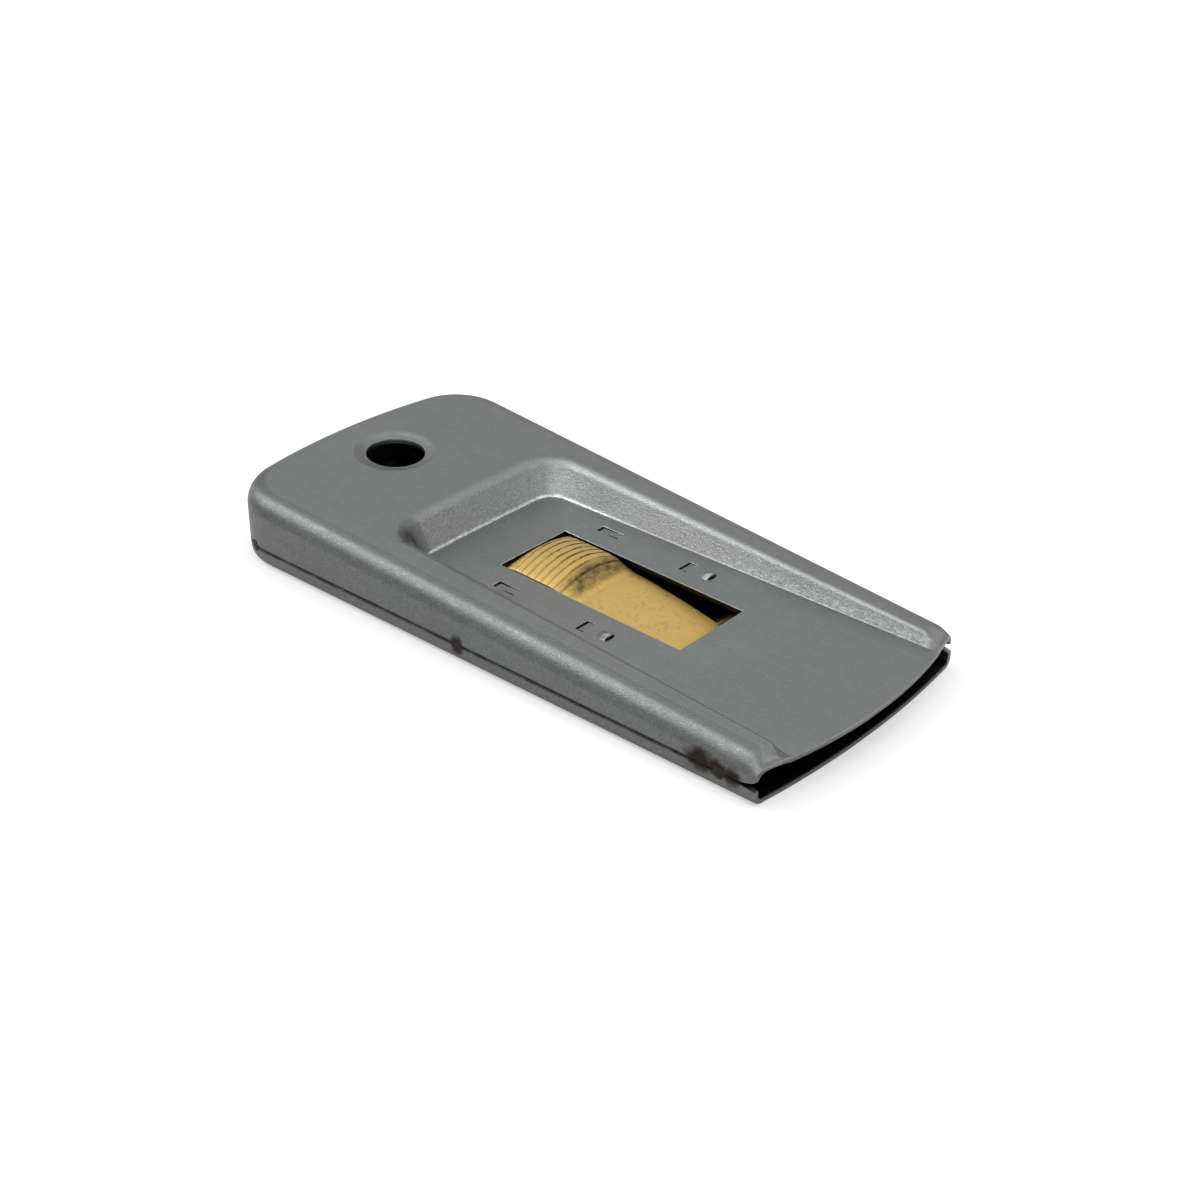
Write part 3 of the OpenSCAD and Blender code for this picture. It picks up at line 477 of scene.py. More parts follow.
# ---------------------------------------------------------------- materials
class Graph:
    """Builds one material's nodes. A socket is an output, a number or a vector."""

    def __init__(self, name, **constants):
        self.material = bpy.data.materials.new(name)
        self.material.use_nodes = True
        self.tree = self.material.node_tree
        self.shader = self.tree.nodes["Principled BSDF"]
        for key, value in constants.items():
            self.shader.inputs[key.replace("_", " ")].default_value = value
        self.place = self.node("ShaderNodeTexCoord").outputs["Object"]

    def node(self, kind, inputs=(), **settings):
        n = self.tree.nodes.new(kind)
        for key, value in settings.items():
            setattr(n, key, value)
        for key, value in dict(inputs).items():
            if isinstance(value, bpy.types.NodeSocket):
                self.tree.links.new(value, n.inputs[key])
            else:
                n.inputs[key].default_value = value
        return n

    def axes(self, vector):
        """The x, y and z of a vector."""
        return self.node("ShaderNodeSeparateXYZ", {0: vector}).outputs

    def math(self, operation, a, b=0.0, clamp=False):
        n = self.node("ShaderNodeMath", {0: a, 1: b}, operation=operation, use_clamp=clamp)
        return n.outputs[0]

    def times(self, *factors):
        product = factors[0]
        for factor in factors[1:]:
            product = self.math("MULTIPLY", product, factor)
        return product

    def most(self, a, b):
        return self.math("MAXIMUM", a, b)

    def scaled(self, tone, mask, factor):
        """The tone, times factor where mask is 1."""
        return self.times(tone, self.blend(mask, 1.0, factor))

    def noise(self, scale, detail=4.0, rough=0.6, stretch=None):
        """Noise from 0 to 1 whose forms are about 1/scale metres, drawn out by stretch."""
        at = self.place
        if stretch:
            at = self.node("ShaderNodeMapping", {0: at, "Scale": stretch}).outputs[0]
        return self.node("ShaderNodeTexNoise", {
            "Vector": at, "Scale": scale, "Detail": detail, "Roughness": rough,
        }).outputs["Fac"]

    def ramp(self, value, low, high):
        """0 at low and 1 at high, smoothly."""
        return self.node("ShaderNodeMapRange", {
            0: value, 1: low, 2: high,
        }, interpolation_type="SMOOTHSTEP").outputs[0]

    def ramp_mm(self, value, low, high):
        """The same for a length, with low and high in millimetres."""
        return self.ramp(value, low * MM, high * MM)

    def near(self, point, size, inner, outer, wobble=0.5):
        """1 within inner of a point, 0 beyond outer, with distances along the axes times size.

        The border wanders by up to wobble. Lengths in millimetres.
        """
        px, py, pz = placed([point])[0]
        at = self.node("ShaderNodeMapping", {
            0: self.place, "Location": (-px * size[0], -py * size[1], -pz * size[2]), "Scale": size,
        }).outputs[0]
        away = self.node("ShaderNodeVectorMath", {0: at}, operation="LENGTH").outputs["Value"]
        shift = self.times(self.math("SUBTRACT", self.noise(700, 4), 0.5), 2 * wobble * MM)
        return self.ramp_mm(self.math("ADD", away, shift), outer, inner)

    def mix(self, share, a, b):
        """Colour from a to b."""
        n = self.node("ShaderNodeMix", data_type="RGBA")
        for key, value in ((0, share), (6, a), (7, b)):
            if isinstance(value, bpy.types.NodeSocket):
                self.tree.links.new(value, n.inputs[key])
            elif key:
                n.inputs[key].default_value = (*value, 1)
            else:
                n.inputs[key].default_value = value
        return n.outputs[2]

    def blend(self, share, a, b):
        """Number from a to b."""
        return self.node("ShaderNodeMix", {0: share, 2: a, 3: b}).outputs[0]

    def bump(self, height, distance, under=None):
        """Normal bent by a height from 0 to 1, which stands for distance millimetres."""
        inputs = {"Height": height, "Distance": distance * MM}
        if under:
            inputs["Normal"] = under
        return self.node("ShaderNodeBump", inputs).outputs[0]

    def put(self, **sockets):
        for key, value in sockets.items():
            self.tree.links.new(value, self.shader.inputs[key.replace("_", " ")])
        return self.material


# Colours, as linear red, green and blue
SHEET, SPECK = (0.199, 0.203, 0.203), (0.075, 0.07, 0.062)
CUT_EDGE, SEAM_GRIME_AND_SHADE = (0.012, 0.01, 0.008), (0.045, 0.038, 0.032)
SCORCH_DARK, SCORCH_LIGHT = (0.015, 0.011, 0.009), (0.062, 0.046, 0.033)
NUGGET_DARK, NUGGET_LIGHT = (0.014, 0.01, 0.008), (0.05, 0.036, 0.026)
FLECK, NUGGET_FLECK = (0.20, 0.13, 0.045), (0.22, 0.10, 0.02)
PLATING_DARK, PLATING_LIGHT = (0.535, 0.365, 0.112), (0.625, 0.445, 0.155)
STEP_DARK_BROWN, SMUDGE = (0.11, 0.068, 0.03), (0.40, 0.28, 0.11)
SLIDE_DIRT_AND_SHADE, GROOVE_DARK = (0.13, 0.085, 0.04), (0.09, 0.06, 0.03)
EVEN = (1, 1, 1)
# Spots on the casings, as near() takes them
# painted highlight at the recess's far rear corner
FAR_CORNER_HIGHLIGHT = ((34.5, 12.4, FLOOR_Z + 0.8), EVEN, 1.0, 7.0, 1.2)
# painted shade at the recess's near rear corner
CORNER_SHADE_SPOTS = (
    ((33.4, -14.9, 9.2), EVEN, 0.9, 3.8, 1.2),
    ((37.0, -15.0, 8.6), (0.8, 1, 1), 0.7, 2.5, 1.0),
)
FLECK_SPOT = ((95.6, -22.2, SEAM_Z + 1.9), (0.9, 1, 1.1), 0.1, 0.7, 0.5)
SCORCHES = (
    ((50.2, -23.5, SEAM_Z), (1.0, 1.0, 0.85), 0.5, 1.6, 0.8),
    ((50.2, 23.5, SEAM_Z), (1.0, 1.0, 0.85), 0.5, 1.6, 0.8),
    ((91.9, -22.3, SEAM_Z + 0.6), (0.8, 1.0, 1.0), 0.8, 2.4, 0.8),
    ((94.6, -22.2, SEAM_Z + 0.5), (0.7, 1.0, 1.1), 0.5, 1.9, 0.8),
    ((96.9, -22.1, SEAM_Z + 0.15), (0.95, 1.0, 1.0), 0.5, 2.0, 0.8),
    ((94.4, 22.2, SEAM_Z + 0.4), (0.6, 1.0, 1.0), 0.7, 2.3, 0.8),
    ((8.3, -24.5, SEAM_Z), (0.9, 0.9, 1.3), 0.2, 1.1, 0.8),
    ((5.0, -22.9, SEAM_Z + 0.1), (0.45, 0.45, 1.5), 0.2, 1.3, 0.8),
    ((8.3, 24.5, SEAM_Z), (0.9, 0.9, 1.2), 0.2, 1.2, 0.8),
)


def recess_tone(g, tone, place, facing, to_middle):
    """Paints sheen on the drawn walls, and highlights and shade. Gives also the sheen's mask."""
    drawn = g.ramp(g.most(to_middle, g.times(facing[0], 0.6)), 0.1, 0.8)
    drawn = g.times(drawn, g.ramp_mm(place[2], 4.6, 5.3))
    streaks = g.ramp(g.noise(4000, 5, 0.8, (0.4, 0.4, 1)), 0.28, 0.74)
    # painted sheen on the drawn recess walls, streaked; casing_steel also lowers their roughness
    # with it
    burnish_and_sheen = g.times(drawn, g.blend(streaks, 0.65, 1.15))
    tone = g.scaled(tone, burnish_and_sheen, 2.1)
    # painted highlight at the far rear corner of the recess
    tone = g.scaled(tone, g.times(g.near(*FAR_CORNER_HIGHLIGHT), drawn), 1.35)
    # painted highlight along the foot of the drawn walls, in the recess's rear half
    foot = g.times(
        g.ramp_mm(place[2], FLOOR_Z + 0.5, FLOOR_Z + 0.12),
        g.ramp(g.most(to_middle, facing[0]), 0.06, 0.3),
        g.ramp_mm(place[0], 0.0, -12.0),
    )
    tone = g.scaled(tone, g.times(foot, streaks), 3.0)
    # painted glint low on the drawn walls towards the front
    glint = g.times(
        g.ramp_mm(place[0], 2.0, 26.0), g.ramp_mm(place[2], FLOOR_Z + 1.5, FLOOR_Z + 0.6),
        drawn, g.ramp(g.noise(1500, 4, 0.8), 0.4, 0.68),
    )
    tone = g.scaled(tone, glint, 1.6)
    # painted highlight on top of each nib
    for side in SIDES:
        spot = g.near((NIB_X - 0.1, side * CATCH_Y, FLOOR_Z + NIB_H), EVEN, 0.35, 1.0, 0.2)
        tone = g.scaled(tone, spot, 2.3)
    # painted shade on the upward faces inside the casings, near their bottom
    inside = g.times(g.ramp_mm(place[2], 1.5, 1.0), g.ramp(facing[2], 0.3, 0.7))
    tone = g.scaled(tone, inside, 0.15)
    # painted shade at the near rear corner of the recess
    corner_shade = g.most(*[g.near(*spot) for spot in CORNER_SHADE_SPOTS])
    return g.scaled(tone, g.times(corner_shade, g.ramp(to_middle, 0.8, 0.5)), 0.16), burnish_and_sheen


def roll_tone(g, tone, place, facing, to_middle):
    """Paints shade in bands on the rolled edges and a highlight on the near crest. Roughens upright
    faces.
    """
    outward = g.times(to_middle, -1.0)
    near_side = g.ramp_mm(place[1], 0.5, -0.5)
    # painted shade on the rolled edges: the far roll broadly, the near one in bands above, under
    # and inside its crest
    near_roll_shade = g.times(g.ramp(outward, 0.04, 0.2), g.ramp(outward, 0.52, 0.36))
    under_crest = g.times(g.ramp(outward, 0.74, 0.88), g.ramp(outward, 0.998, 0.96))
    near_roll_shade = g.most(near_roll_shade, g.times(under_crest, 0.6))
    roll_shade = g.blend(near_side, g.ramp(outward, 0.1, 0.5), near_roll_shade)
    roll_shade = g.most(roll_shade, g.times(near_side, g.ramp(to_middle, 0.01, 0.14)))
    on_roll = g.ramp_mm(place[2], SEAM_Z + 1.0, SEAM_Z + 2.0)
    tone = g.scaled(tone, g.times(roll_shade, on_roll), 0.74)
    # painted highlight along the near crest, broken up by sparkle
    crest = g.times(g.ramp(outward, 0.42, 0.6), g.ramp(outward, 0.88, 0.66))
    crest = g.times(crest, g.times(near_side, on_roll))
    sparkle = g.blend(g.ramp(g.noise(900, 4, 0.75, (0.6, 1, 1)), 0.5, 0.72), 0.35, 1.0)
    tone = g.scaled(tone, g.times(crest, sparkle), 1.75)
    upright = g.ramp(g.math("ABSOLUTE", facing[2]), 0.8, 0.4)
    grit = g.blend(g.ramp(g.noise(2700, 4, 0.8), 0.35, 0.65), 0.84, 1.16)
    return g.scaled(tone, upright, grit)


def window_cut(g, place):
    """1 on the cut faces round the window."""
    middle = (WINDOW_X + WINDOW_L / 2 - BODY_L / 2) * MM
    across = g.math("ABSOLUTE", place[1])
    along = g.math("ABSOLUTE", g.math("SUBTRACT", place[0], middle))
    outer, inner = 0.07, 0.03
    return g.times(
        g.ramp_mm(across, WINDOW_W / 2 + outer, WINDOW_W / 2 + inner),
        g.ramp_mm(along, WINDOW_L / 2 + outer, WINDOW_L / 2 + inner),
        g.ramp_mm(place[2], FLOOR_Z + 0.02, FLOOR_Z - 0.12),
        g.ramp_mm(place[2], FLOOR_Z - 1.5, FLOOR_Z - 1.0),
    )


def casing_steel():
    """Bare pressed sheet: satin, mottled, burnished with painted sheen where drawn, painted
    highlights and shade, scorched at welds.
    """
    g = Graph("casing_steel", Metallic=1.0)
    mottle, fine = g.noise(480, 6, 0.7), g.noise(4200, 3, 0.7)
    place = g.axes(g.place)
    facing = g.axes(g.node("ShaderNodeTexCoord").outputs["Normal"])
    to_middle = g.times(g.math("SIGN", place[1]), g.times(facing[1], -1.0))

    tone = g.times(
        g.blend(g.noise(55, 5), 0.82, 1.16), g.blend(mottle, 0.86, 1.16),
        g.blend(g.noise(1500, 3, 0.6, (0.06, 1, 1)), 0.94, 1.06), g.blend(fine, 0.88, 1.12),
    )
    tone, burnish_and_sheen = recess_tone(g, tone, place, facing, to_middle)
    tone = roll_tone(g, tone, place, facing, to_middle)
    color = g.mix(tone, (0, 0, 0), SHEET)
    color.node.clamp_factor = False

    speck = g.ramp(g.noise(2600, 2), 0.64, 0.76)
    color = g.mix(g.times(speck, 0.4), color, SPECK)
    color = g.mix(g.times(window_cut(g, place), 0.97), color, CUT_EDGE)
    # darker along the seam: patchy grime and painted shade in the crease between the casings
    off_seam = g.math("ABSOLUTE", g.math("SUBTRACT", place[2], SEAM_Z * MM))
    patchy = g.blend(g.ramp(g.noise(300, 4), 0.35, 0.6), 0.6, 0.95)
    color = g.mix(g.times(g.ramp_mm(off_seam, 0.5, 0.15), patchy), color, SEAM_GRIME_AND_SHADE)
    burn = g.near(*SCORCHES[0])
    for spot in SCORCHES[1:]:
        burn = g.most(burn, g.near(*spot))
    burn = g.math("MULTIPLY", burn, g.blend(g.noise(1100, 4), 0.7, 1.3), clamp=True)
    color = g.mix(burn, color, g.mix(g.noise(1100, 3), SCORCH_DARK, SCORCH_LIGHT))
    color = g.mix(g.times(g.near(*FLECK_SPOT), 0.6), color, FLECK)

    rough = g.math("ADD", g.blend(mottle, 0.33, 0.45), g.times(burn, 0.25))
    rough = g.math("ADD", rough, g.times(burnish_and_sheen, -0.06))
    bump = g.bump(g.noise(70, 2), 0.06)
    bump = g.bump(g.noise(1700, 4, 0.75), 0.07, bump)
    return g.put(Base_Color=color, Roughness=rough, Normal=g.bump(fine, 0.07, bump))


def slide_gold():
    """Gold coloured plating, satin, darker in the grooves across the pad and on its step, with
    smudges, dirt and painted shade.
    """
    g = Graph("slide_gold", Metallic=1.0)
    clouds, fine = g.noise(220, 5), g.noise(1800, 4, 0.7)
    x, y = g.axes(g.place)[:2]

    first = (GROOVE_X + GROOVE_W / 2 - BODY_L / 2) * MM
    wavy = g.math("ADD", x, g.times(g.math("SUBTRACT", g.noise(500, 4), 0.5), 0.5 * MM))
    turns = g.math("DIVIDE", g.math("SUBTRACT", wavy, first), GROOVE_PITCH * MM)
    off = g.math("ABSOLUTE", g.math("SUBTRACT", turns, g.math("ROUND", turns)))
    # dark lines along the grip grooves, stronger towards the far side
    line = g.times(
        g.ramp(off, 0.19, 0.07),
        g.times(g.ramp(turns, -0.5, -0.4), g.ramp(turns, GROOVES - 0.4, GROOVES - 0.6)),
        g.ramp(g.noise(260, 4), 0.3, 0.5), g.blend(g.ramp_mm(y, -5.0, 1.0), 0.3, 1.0),
    )
    # dirt over the pad, with painted shade along its far edge and rear end, where it curves down
    rim = g.most(g.ramp_mm(y, 3.2, 5.8), g.ramp_mm(x, -6.0, -9.4))
    dirt_and_shade = g.times(
        g.ramp(g.noise(1500, 4, 0.75), 0.5, 0.62), g.ramp(g.noise(200, 3), 0.42, 0.6),
        g.blend(rim, 0.25, 0.8),
    )
    wandering = g.math("ADD", y, g.times(g.noise(150, 3), 2 * MM))
    # darker brown over the step down from the pad to the tongue
    slope = g.times(
        g.ramp_mm(x, 0.2, 1.6), g.ramp_mm(x, 4.4, 3.0), g.ramp_mm(wandering, -5.8, -3.0),
        g.blend(g.ramp(g.noise(900, 5, 0.7), 0.35, 0.65), 0.5, 0.95),
    )
    smudge = g.times(g.ramp(g.noise(300, 6, 0.75), 0.54, 0.74), 0.4)

    color = g.mix(clouds, PLATING_DARK, PLATING_LIGHT)
    color = g.mix(slope, color, STEP_DARK_BROWN)
    color = g.mix(smudge, color, SMUDGE)
    color = g.mix(dirt_and_shade, color, SLIDE_DIRT_AND_SHADE)
    color = g.mix(g.times(line, 0.85), color, GROOVE_DARK)
    rough = g.math("ADD", g.blend(fine, 0.46, 0.56), g.times(line, 0.2))
    return g.put(Base_Color=color, Roughness=rough, Normal=g.bump(fine, 0.006))


def plain_metal(name, light, dark, rough, stretch):
    """Ground or rolled sheet with its grain drawn out along an axis."""
    g = Graph(name, Metallic=1.0)
    grain = g.noise(1600, 4, 0.65, stretch)
    color = g.mix(g.blend(g.noise(150, 5), 0.2, 0.8), dark, light)
    color = g.mix(g.times(g.ramp(grain, 0.35, 0.7), 0.3), color, dark)
    spread = g.blend(g.noise(500, 5), rough - 0.06, rough + 0.08)
    return g.put(Base_Color=color, Roughness=spread, Normal=g.bump(grain, 0.005))


def weld_scorch():
    """Melted and scorched nugget, rough, with an orange fleck."""
    g = Graph("weld_scorch", Metallic=0.6)
    fleck = g.ramp(g.noise(1300, 4), 0.6, 0.72)
    color = g.mix(g.noise(2200, 5, 0.7), NUGGET_DARK, NUGGET_LIGHT)
    color = g.mix(g.times(fleck, 0.6), color, NUGGET_FLECK)
    rough = g.blend(g.noise(900, 3), 0.5, 0.8)
    return g.put(Base_Color=color, Roughness=rough, Normal=g.bump(g.noise(1500, 5), 0.08))


STEEL = casing_steel()
GOLD = slide_gold()
CARRIER = plain_metal("carrier_sheet", (0.42, 0.42, 0.4), (0.26, 0.26, 0.25), 0.36, (0.05, 1, 1))
RIVET = plain_metal("rivet_steel", (0.46, 0.46, 0.45), (0.3, 0.3, 0.29), 0.34, EVEN)
BLADE = plain_metal("blade_steel", (0.62, 0.63, 0.65), (0.42, 0.43, 0.45), 0.24, (1, 0.04, 1))
SPINE = plain_metal("spine_aluminium", (0.55, 0.56, 0.57), (0.4, 0.41, 0.42), 0.38, (1, 0.04, 1))
WELD = weld_scorch()
FINISHES = {
    "upper_casing": STEEL, "lower_casing": STEEL, "seam_welds": WELD, "thumb_slide": GOLD,
    "slide_foot": GOLD, "blade_carrier": CARRIER, "carrier_rivets": RIVET,
    "razor_blade": BLADE, "blade_spine": SPINE,
}
for name, node in NODES.items():
    node.data.materials.clear()
    node.data.materials.append(FINISHES[name])


# ---------------------------------------------------------------- upper casing
def catch_tab(x, y, w, slit, drop):
    """Tab of a catch, bent down by drop at its free end and rooted in the floor."""
    def point(u, v):
        px = lerp(x + CATCH_SLOT, x + slit + TAB_ROOT, u)
        t = np.clip((x + slit - px) / (slit - CATCH_SLOT), 0, 1)
        py = y + (v - 0.5) * (w - 2 * SLIT_W)
        return (px, py, FLOOR_Z - drop * t * t * (3 - 2 * t)), (px, py, FLOOR_UNDER_Z)
    return grid(point, 12, 4)


def nib_dome(y):
    """Raised nib, which swells from its tip behind to its mouth in front."""
    def point(u, v):
        t = 2 * v - 1
        half = NIB_R * math.sqrt(max(NIB_TIP, 1 - (1 - u) ** NIB_SWELL))
        px, py = NIB_X - NIB_BEHIND + NIB_L * u, y + t * half
        lift = math.sin(math.pi / 2 * min(1, u * NIB_FULL)) ** NIB_RISE * (1 - t ** 2) ** NIB_ROUND
        return (px, py, FLOOR_Z - NIB_SUNK + NIB_H * lift), (px, py, FLOOR_Z - NIB_ROOT)
    return grid(point, 20, 20)


upper_skins = upper_rings(0), upper_rings(SHEET_T)
upper = solid(*shell(*upper_skins, BODY_L, UPPER_FRONT_R), name="upper_casing_pressed")
window = rect(WINDOW_X, WINDOW_X + WINDOW_L, -WINDOW_W / 2, WINDOW_W / 2)
openings = [flared(window, FLOOR_Z, FLOOR_UNDER_Z, WINDOW_BREAK)]
tabs, domes, mouths = [], [], []
for y in (side * CATCH_Y for side in SIDES):
    for x, w, slit, drop in CATCHES:
        slot = rect(x, x + slit, y - w / 2, y + w / 2)
        openings.append(flared(slot, FLOOR_Z, FLOOR_UNDER_Z, SLOT_BREAK))
        tabs.append(catch_tab(x, y, w, slit, drop))
    domes.append(nib_dome(y))
    mouth = oval(NIB_X + NIB_MOUTH_X, y, NIB_MOUTH_L, NIB_R * NIB_MOUTH_SHARE, NIB_MOUTH_N)
    mouths.append(prism(mouth, [(FLOOR_UNDER_Z - OVERCUT, 0), (FLOOR_Z + NIB_MOUTH_H, 0)]))
disc = oval(HOLE_X, 0, DIMPLE_R, DIMPLE_R, HOLE_N)
openings.append(prism(disc, [(FLOOR_Z, 0), (REAR_H + OVERCUT, 0)]))
combine(upper, "DIFFERENCE", openings)
combine(upper, "UNION", tabs + domes)
combine(upper, "DIFFERENCE", mouths)

# What counts as such: the normal's z, millimetres off, and share of the step between corners
UPRIGHT, ON_CUT, ON_CORNER = 0.3, 0.03, 0.01


def dimpled(obj):
    """Fills the disc cut round the hole with a softly sunken ring."""
    bm = bmesh.new()
    bm.from_mesh(obj.data)
    axis = Vector(((HOLE_X - BODY_L / 2) * MM, 0, 0))
    wall = [f for f in bm.faces if abs(f.normal.z) < UPRIGHT and all(
        abs((v.co.xy - axis.xy).length - DIMPLE_R * MM) < ON_CUT * MM for v in f.verts)]
    bmesh.ops.delete(bm, geom=wall, context="FACES")
    # The cut's vertices between the ring's own corners go to the nearest corner
    rim = list({v for e in bm.edges if len(e.link_faces) == 1 for v in e.verts})
    turn = 2 * math.pi / HOLE_N

    def off_corner(v):
        k = math.atan2(v.co.y - axis.y, v.co.x - axis.x) / turn
        return abs(k - round(k)) > ON_CORNER

    corners = [v for v in rim if not off_corner(v)]
    bmesh.ops.weld_verts(bm, targetmap={
        v: min(corners, key=lambda c: (c.co - v.co).length_squared) for v in rim if off_corner(v)})
    profile = []
    for i in range(DIMPLE_N + 1):
        t = i / DIMPLE_N
        sunk = DIMPLE_D * (1 - math.cos(math.pi * t)) / 2
        profile.append((lerp(DIMPLE_R, HOLE_R + RIM_BREAK, t), -sunk))
    under = [(r, z - SHEET_T) for r, z in profile[::-1]]
    edge = [(HOLE_R + RIM_SOFT, -DIMPLE_D - RIM_SOFT), (HOLE_R, -DIMPLE_D - RIM_BREAK)]
    edge += [(r, -2 * DIMPLE_D - SHEET_T - z) for r, z in edge[::-1]]
    rows = []
    for r, z in profile + edge + under:
        ring = [(px, py, top_z(px) + z) for px, py in oval(HOLE_X, 0, r, r, HOLE_N)]
        rows.append([bm.verts.new(co) for co in placed(ring)])
    for a, b in zip(rows, rows[1:]):
        for i in range(HOLE_N):
            j = (i + 1) % HOLE_N
            bm.faces.new((a[i], a[j], b[j], b[i]))
    bmesh.ops.remove_doubles(bm, verts=bm.verts, dist=SLIVER)
    bmesh.ops.recalc_face_normals(bm, faces=bm.faces)
    bm.to_mesh(obj.data)
    bm.free()


dimpled(upper)
piece(upper, "housing", STEEL, "upper_casing")

# ---------------------------------------------------------------- lower casing
lower_skins = lower_rings(0), lower_rings(SHEET_T)
lower = solid(*shell(*lower_skins, MOUTH_X, LOWER_FRONT_R), name="lower_casing_pressed")
hole = oval(HOLE_X, 0, HOLE_R, HOLE_R, HOLE_N)
combine(lower, "DIFFERENCE", [flared(hole, SHEET_T, 0, HOLE_BREAK)])
piece(lower, "housing", STEEL, "lower_casing")


# ---------------------------------------------------------------- thumb slide
def share_at(t, column):
    """Height or crown share of the pad, with the bends between its stations rounded."""
    xs, ys = [row[0] for row in PAD_SHARES], [row[column] for row in PAD_SHARES]
    return float(np.mean([np.interp(t + k * PAD_BLUR, xs, ys) for k in range(-2, 3)]))


def strip_edge_z(x):
    if x < TONGUE_X:
        return lerp(TONGUE_EDGE_Z, PAD_EDGE_Z, share_at((x - PAD_X) / PAD_L, 1))
    return lerp(TONGUE_EDGE_Z, FOOT_TOP_Z, ((x - TONGUE_X) / (FOOT_X - TONGUE_X)) ** TONGUE_BEND)


def strip_crown(x):
    if x < TONGUE_X:
        return lerp(TONGUE_CROWN, PAD_CROWN, share_at((x - PAD_X) / PAD_L, 2))
    return TONGUE_CROWN * (FOOT_X - x) / (FOOT_X - TONGUE_X)


def groove(x):
    """Depth of the grip grooves at x."""
    k = round((x - GROOVE_X - GROOVE_W / 2) / GROOVE_PITCH)
    if not 0 <= k < GROOVES:
        return 0.0
    off = abs(x - GROOVE_X - GROOVE_W / 2 - k * GROOVE_PITCH)
    return GRIP_D * max(0.0, 1 - off / GRIP_REACH) ** 0.8


def strip_point(u, v):
    """The pad and the tongue, down to the bend at the foot."""
    x = lerp(PAD_X, FOOT_X, u)
    t = 2 * v - 1
    share = max(0, (x - TONGUE_X) / (FOOT_X - TONGUE_X))
    half = lerp(PAD_W, TONGUE_END_W, share) / 2
    z = strip_edge_z(x) + strip_crown(x) * (1 - t * t)
    to_edge = max(0, (abs(t) - (1 - STRIP_BREAK_SHARE)) / STRIP_BREAK_SHARE)
    broken = STRIP_BREAK * to_edge ** 2
    return (x, t * half, z - groove(x) * (1 - t ** 8) - broken), (x, t * half, z - STRIP_T + broken)


def side_wall(side):
    def point(u, v):
        x = PAD_X + lerp(INSET, PAD_L * SIDE_WALL_SHARE, u)
        y = side * (PAD_W / 2 - lerp(INSET, STRIP_T - INSET, v))
        return (x, y, strip_edge_z(x) - STRIP_T / 2), (x, y, WING_Z + SIDE_WALL_ROOT)
    return grid(point, 24, 4)


def rear_wall(u, v):
    t = 2 * v - 1
    x, y = PAD_X + lerp(INSET, STRIP_T - INSET, u), t * (PAD_W / 2 - REAR_WALL_IN)
    z = strip_edge_z(PAD_X) + strip_crown(PAD_X) * (1 - t * t) - REAR_WALL_DROP
    return (x, y, z), (x, y, WING_Z + REAR_WALL_ROOT)


half_wing, inner_y = WING_W / 2, PAD_W / 2 - STRIP_T
wing_rear_x, wing_front_x = PAD_X - TAIL_L, PAD_X + WING_L
plate = [
    (wing_rear_x, -half_wing), (wing_front_x, -half_wing), (wing_front_x, -inner_y),
    (PAD_X + STRIP_T, -inner_y), (PAD_X + STRIP_T, inner_y),
    (wing_front_x, inner_y), (wing_front_x, half_wing), (wing_rear_x, half_wing),
]
slide = solid(*bossed(plate, WING_Z, WING_Z + STRIP_T), name="thumb_slide_strip")
teeth = []
for y in (side * CATCH_Y for side in SIDES):
    tooth = rect(TOOTH_X0, TOOTH_X1, y - TOOTH_W / 2, y + TOOTH_W / 2)
    teeth.append(bossed(tooth, WING_Z + TOOTH_ROOT, TOOTH_TOP_Z, SLOT_BREAK))
combine(slide, "UNION", teeth)
combine(slide, "UNION", [side_wall(side) for side in SIDES])
combine(slide, "UNION", [grid(rear_wall, 2, 24)])
combine(slide, "UNION", [grid(strip_point, 300, 80)])
piece(slide, "thumb", GOLD, "thumb_slide")

# ---------------------------------------------------------------- seam welds
SIDE_SLOPE = (REAR_W - FRONT_W) / 2 / BODY_L
WELDS = ((50.2, None), (95.0, None), (None, SIDE_N + CORNER_N // 4))  # x, or a corner's station
NUGGET_N = 40
NUGGET_RINGS = (  # depth in the wall, radius
    (SHEET_T - 0.05, 0.8), (0.1, 0.96), (0.03, 1.0), (0.0, 0.9), (-0.02, 0.6), (-0.01, 0.25),
)
LUMPS = ((0.07, 3, 1.0), (0.05, 5, 1.3), (0.03, 9, 0.0))  # size, number round, turn with x
UP = Vector((0, 0, 1))


def nugget(x, station, side):
    """Lumpy melted disc across the seam, flush with the casings' wall."""
    if station is None:
        a = math.atan(SIDE_SLOPE)
        s = (x, -half_w(x), -math.sin(a), math.cos(a))
    else:
        s = BODY_U[station]
    normal = Vector((s[2], s[3] * -side, 0))
    centre = Vector((s[0], s[1] * -side, SEAM_Z))
    along = UP.cross(normal)
    rings = []
    for depth, r in NUGGET_RINGS:
        ring = []
        for i in range(NUGGET_N):
            t = 2 * math.pi * i / NUGGET_N
            lump = 1 + sum(size * math.sin(n * t + shift * s[0]) for size, n, shift in LUMPS)
            round_t = along * math.cos(t) + UP * math.sin(t)
            ring.append(tuple(centre + normal * depth + round_t * r * lump))
        rings.append(ring)
    return loft(rings)


nuggets = joined([nugget(x, station, side) for x, station in WELDS for side in SIDES])
piece(solid(*nuggets, name="seam_weld_nuggets"), "housing", WELD, "seam_welds", 50)

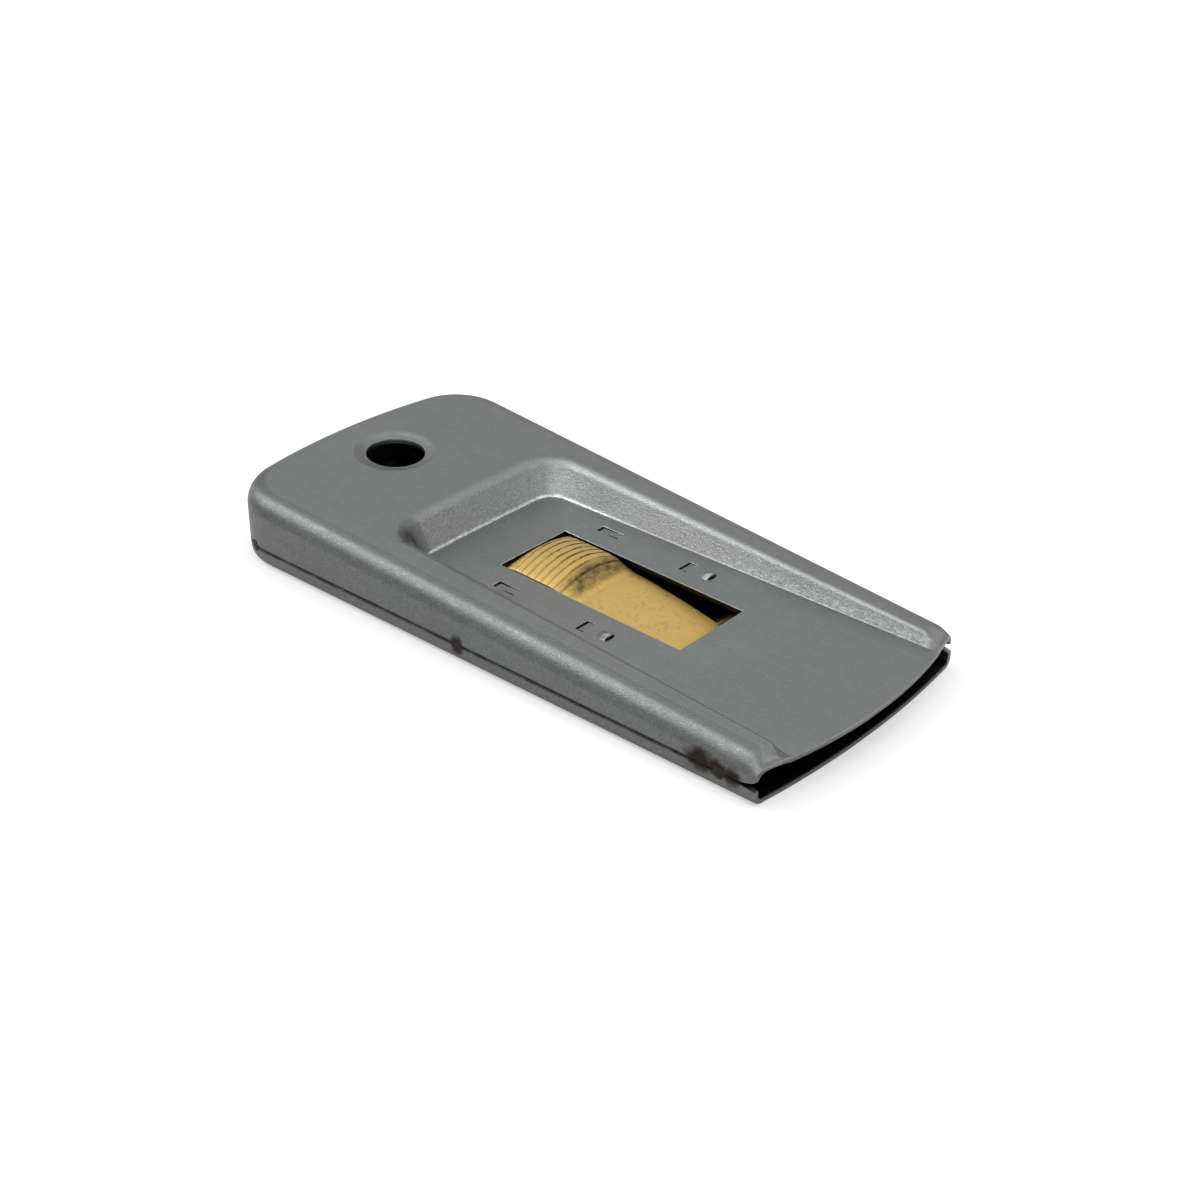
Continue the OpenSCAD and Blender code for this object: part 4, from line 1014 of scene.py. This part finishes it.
# ---------------------------------------------------------------- stage, light and camera
FLOOR_SIZE, FLOOR_GREY, FLOOR_ROUGH = 6, 0.7, 0.9
FLOOR_GAP = 0.05  # keeps the floor and the underside from sharing a plane
FLOOR_GLOW, FLOOR_SHEEN = 0.42, 0.1  # seen by the camera, and by metal
HORIZON, ZENITH, SKY_SHEEN = 0.12, 0.93, 0.1
WHITE = (1, 1, 1, 1)
SENSOR, FOCAL_PX, PICTURE_PX = 36, 1899.1, 1200
CAMERA_AZ, CAMERA_EL, CAMERA_ROLL = math.radians(41.58), math.radians(31.19), 0.011
CAMERA_AT = (0.15846, -0.17455, 0.14285)


def mirrored(g, path):
    """1 for the rays by which metal sees its surroundings."""
    return g.most(path["Is Glossy Ray"], path["Is Transmission Ray"])


bpy.ops.mesh.primitive_plane_add(size=FLOOR_SIZE)
floor = bpy.context.object
floor.name = "floor"
floor.location.z = -FLOOR_GAP * MM
paper = Graph("floor_paper", Roughness=FLOOR_ROUGH, Base_Color=(*[FLOOR_GREY] * 3, 1))
path = paper.node("ShaderNodeLightPath").outputs
seen = paper.times(path["Is Camera Ray"], FLOOR_GLOW)
seen = paper.math("ADD", seen, paper.times(mirrored(paper, path), FLOOR_SHEEN))
paper.shader.inputs["Emission Color"].default_value = WHITE
floor.data.materials.append(paper.put(Emission_Strength=seen))


class Sky(Graph):
    """Builds the world's nodes."""

    def __init__(self):
        self.material = bpy.data.worlds.new("studio")
        self.material.use_nodes = True
        self.tree = self.material.node_tree
        self.shader = self.tree.nodes["Background"]
        self.place = self.node("ShaderNodeTexCoord").outputs["Generated"]


sky = Sky()
path = sky.node("ShaderNodeLightPath").outputs
light = sky.node("ShaderNodeMapRange", {
    0: sky.axes(sky.place)[2], 1: 0.0, 2: 0.5, 3: HORIZON, 4: ZENITH,
}, interpolation_type="SMOOTHSTEP").outputs[0]
light = sky.math("ADD", light, sky.times(mirrored(sky, path), SKY_SHEEN))
light = sky.most(light, path["Is Camera Ray"])
sky.shader.inputs["Color"].default_value = WHITE
scene.world = sky.put(Strength=light)


def softbox(name, direction, distance, width, height, watts):
    """Soft lamp that faces the object from a direction."""
    lamp = bpy.data.lights.new(name, "AREA")
    lamp.shape = "RECTANGLE"
    lamp.size, lamp.size_y, lamp.energy = width, height, watts
    obj = bpy.data.objects.new(name, lamp)
    scene.collection.objects.link(obj)
    away = Vector(direction).normalized()
    obj.location = away * distance
    obj.rotation_euler = away.to_track_quat("Z", "Y").to_euler()


softbox("left_softbox", (-0.6, -0.32, 0.72), 0.6, 0.16, 0.26, 0.62)
softbox("top_softbox", (0.05, 0.12, 1.0), 0.6, 0.16, 0.14, 0.3)

cam_data = bpy.data.cameras.new("camera")
cam_data.sensor_width = SENSOR
cam_data.lens = FOCAL_PX / PICTURE_PX * SENSOR
cam = bpy.data.objects.new("camera", cam_data)
scene.collection.objects.link(cam)
sin_az, cos_az = math.sin(CAMERA_AZ), math.cos(CAMERA_AZ)
sin_el, cos_el = math.sin(CAMERA_EL), math.cos(CAMERA_EL)
back = Vector((cos_el * sin_az, -cos_el * cos_az, sin_el))
right = Vector((cos_az, sin_az, 0))
up = back.cross(right)
rolled_right = right * math.cos(CAMERA_ROLL) + up * math.sin(CAMERA_ROLL)
rolled_up = up * math.cos(CAMERA_ROLL) - right * math.sin(CAMERA_ROLL)
turned = Matrix((rolled_right, rolled_up, back)).transposed().to_4x4()
cam.matrix_world = Matrix.Translation(CAMERA_AT) @ turned
scene.camera = cam
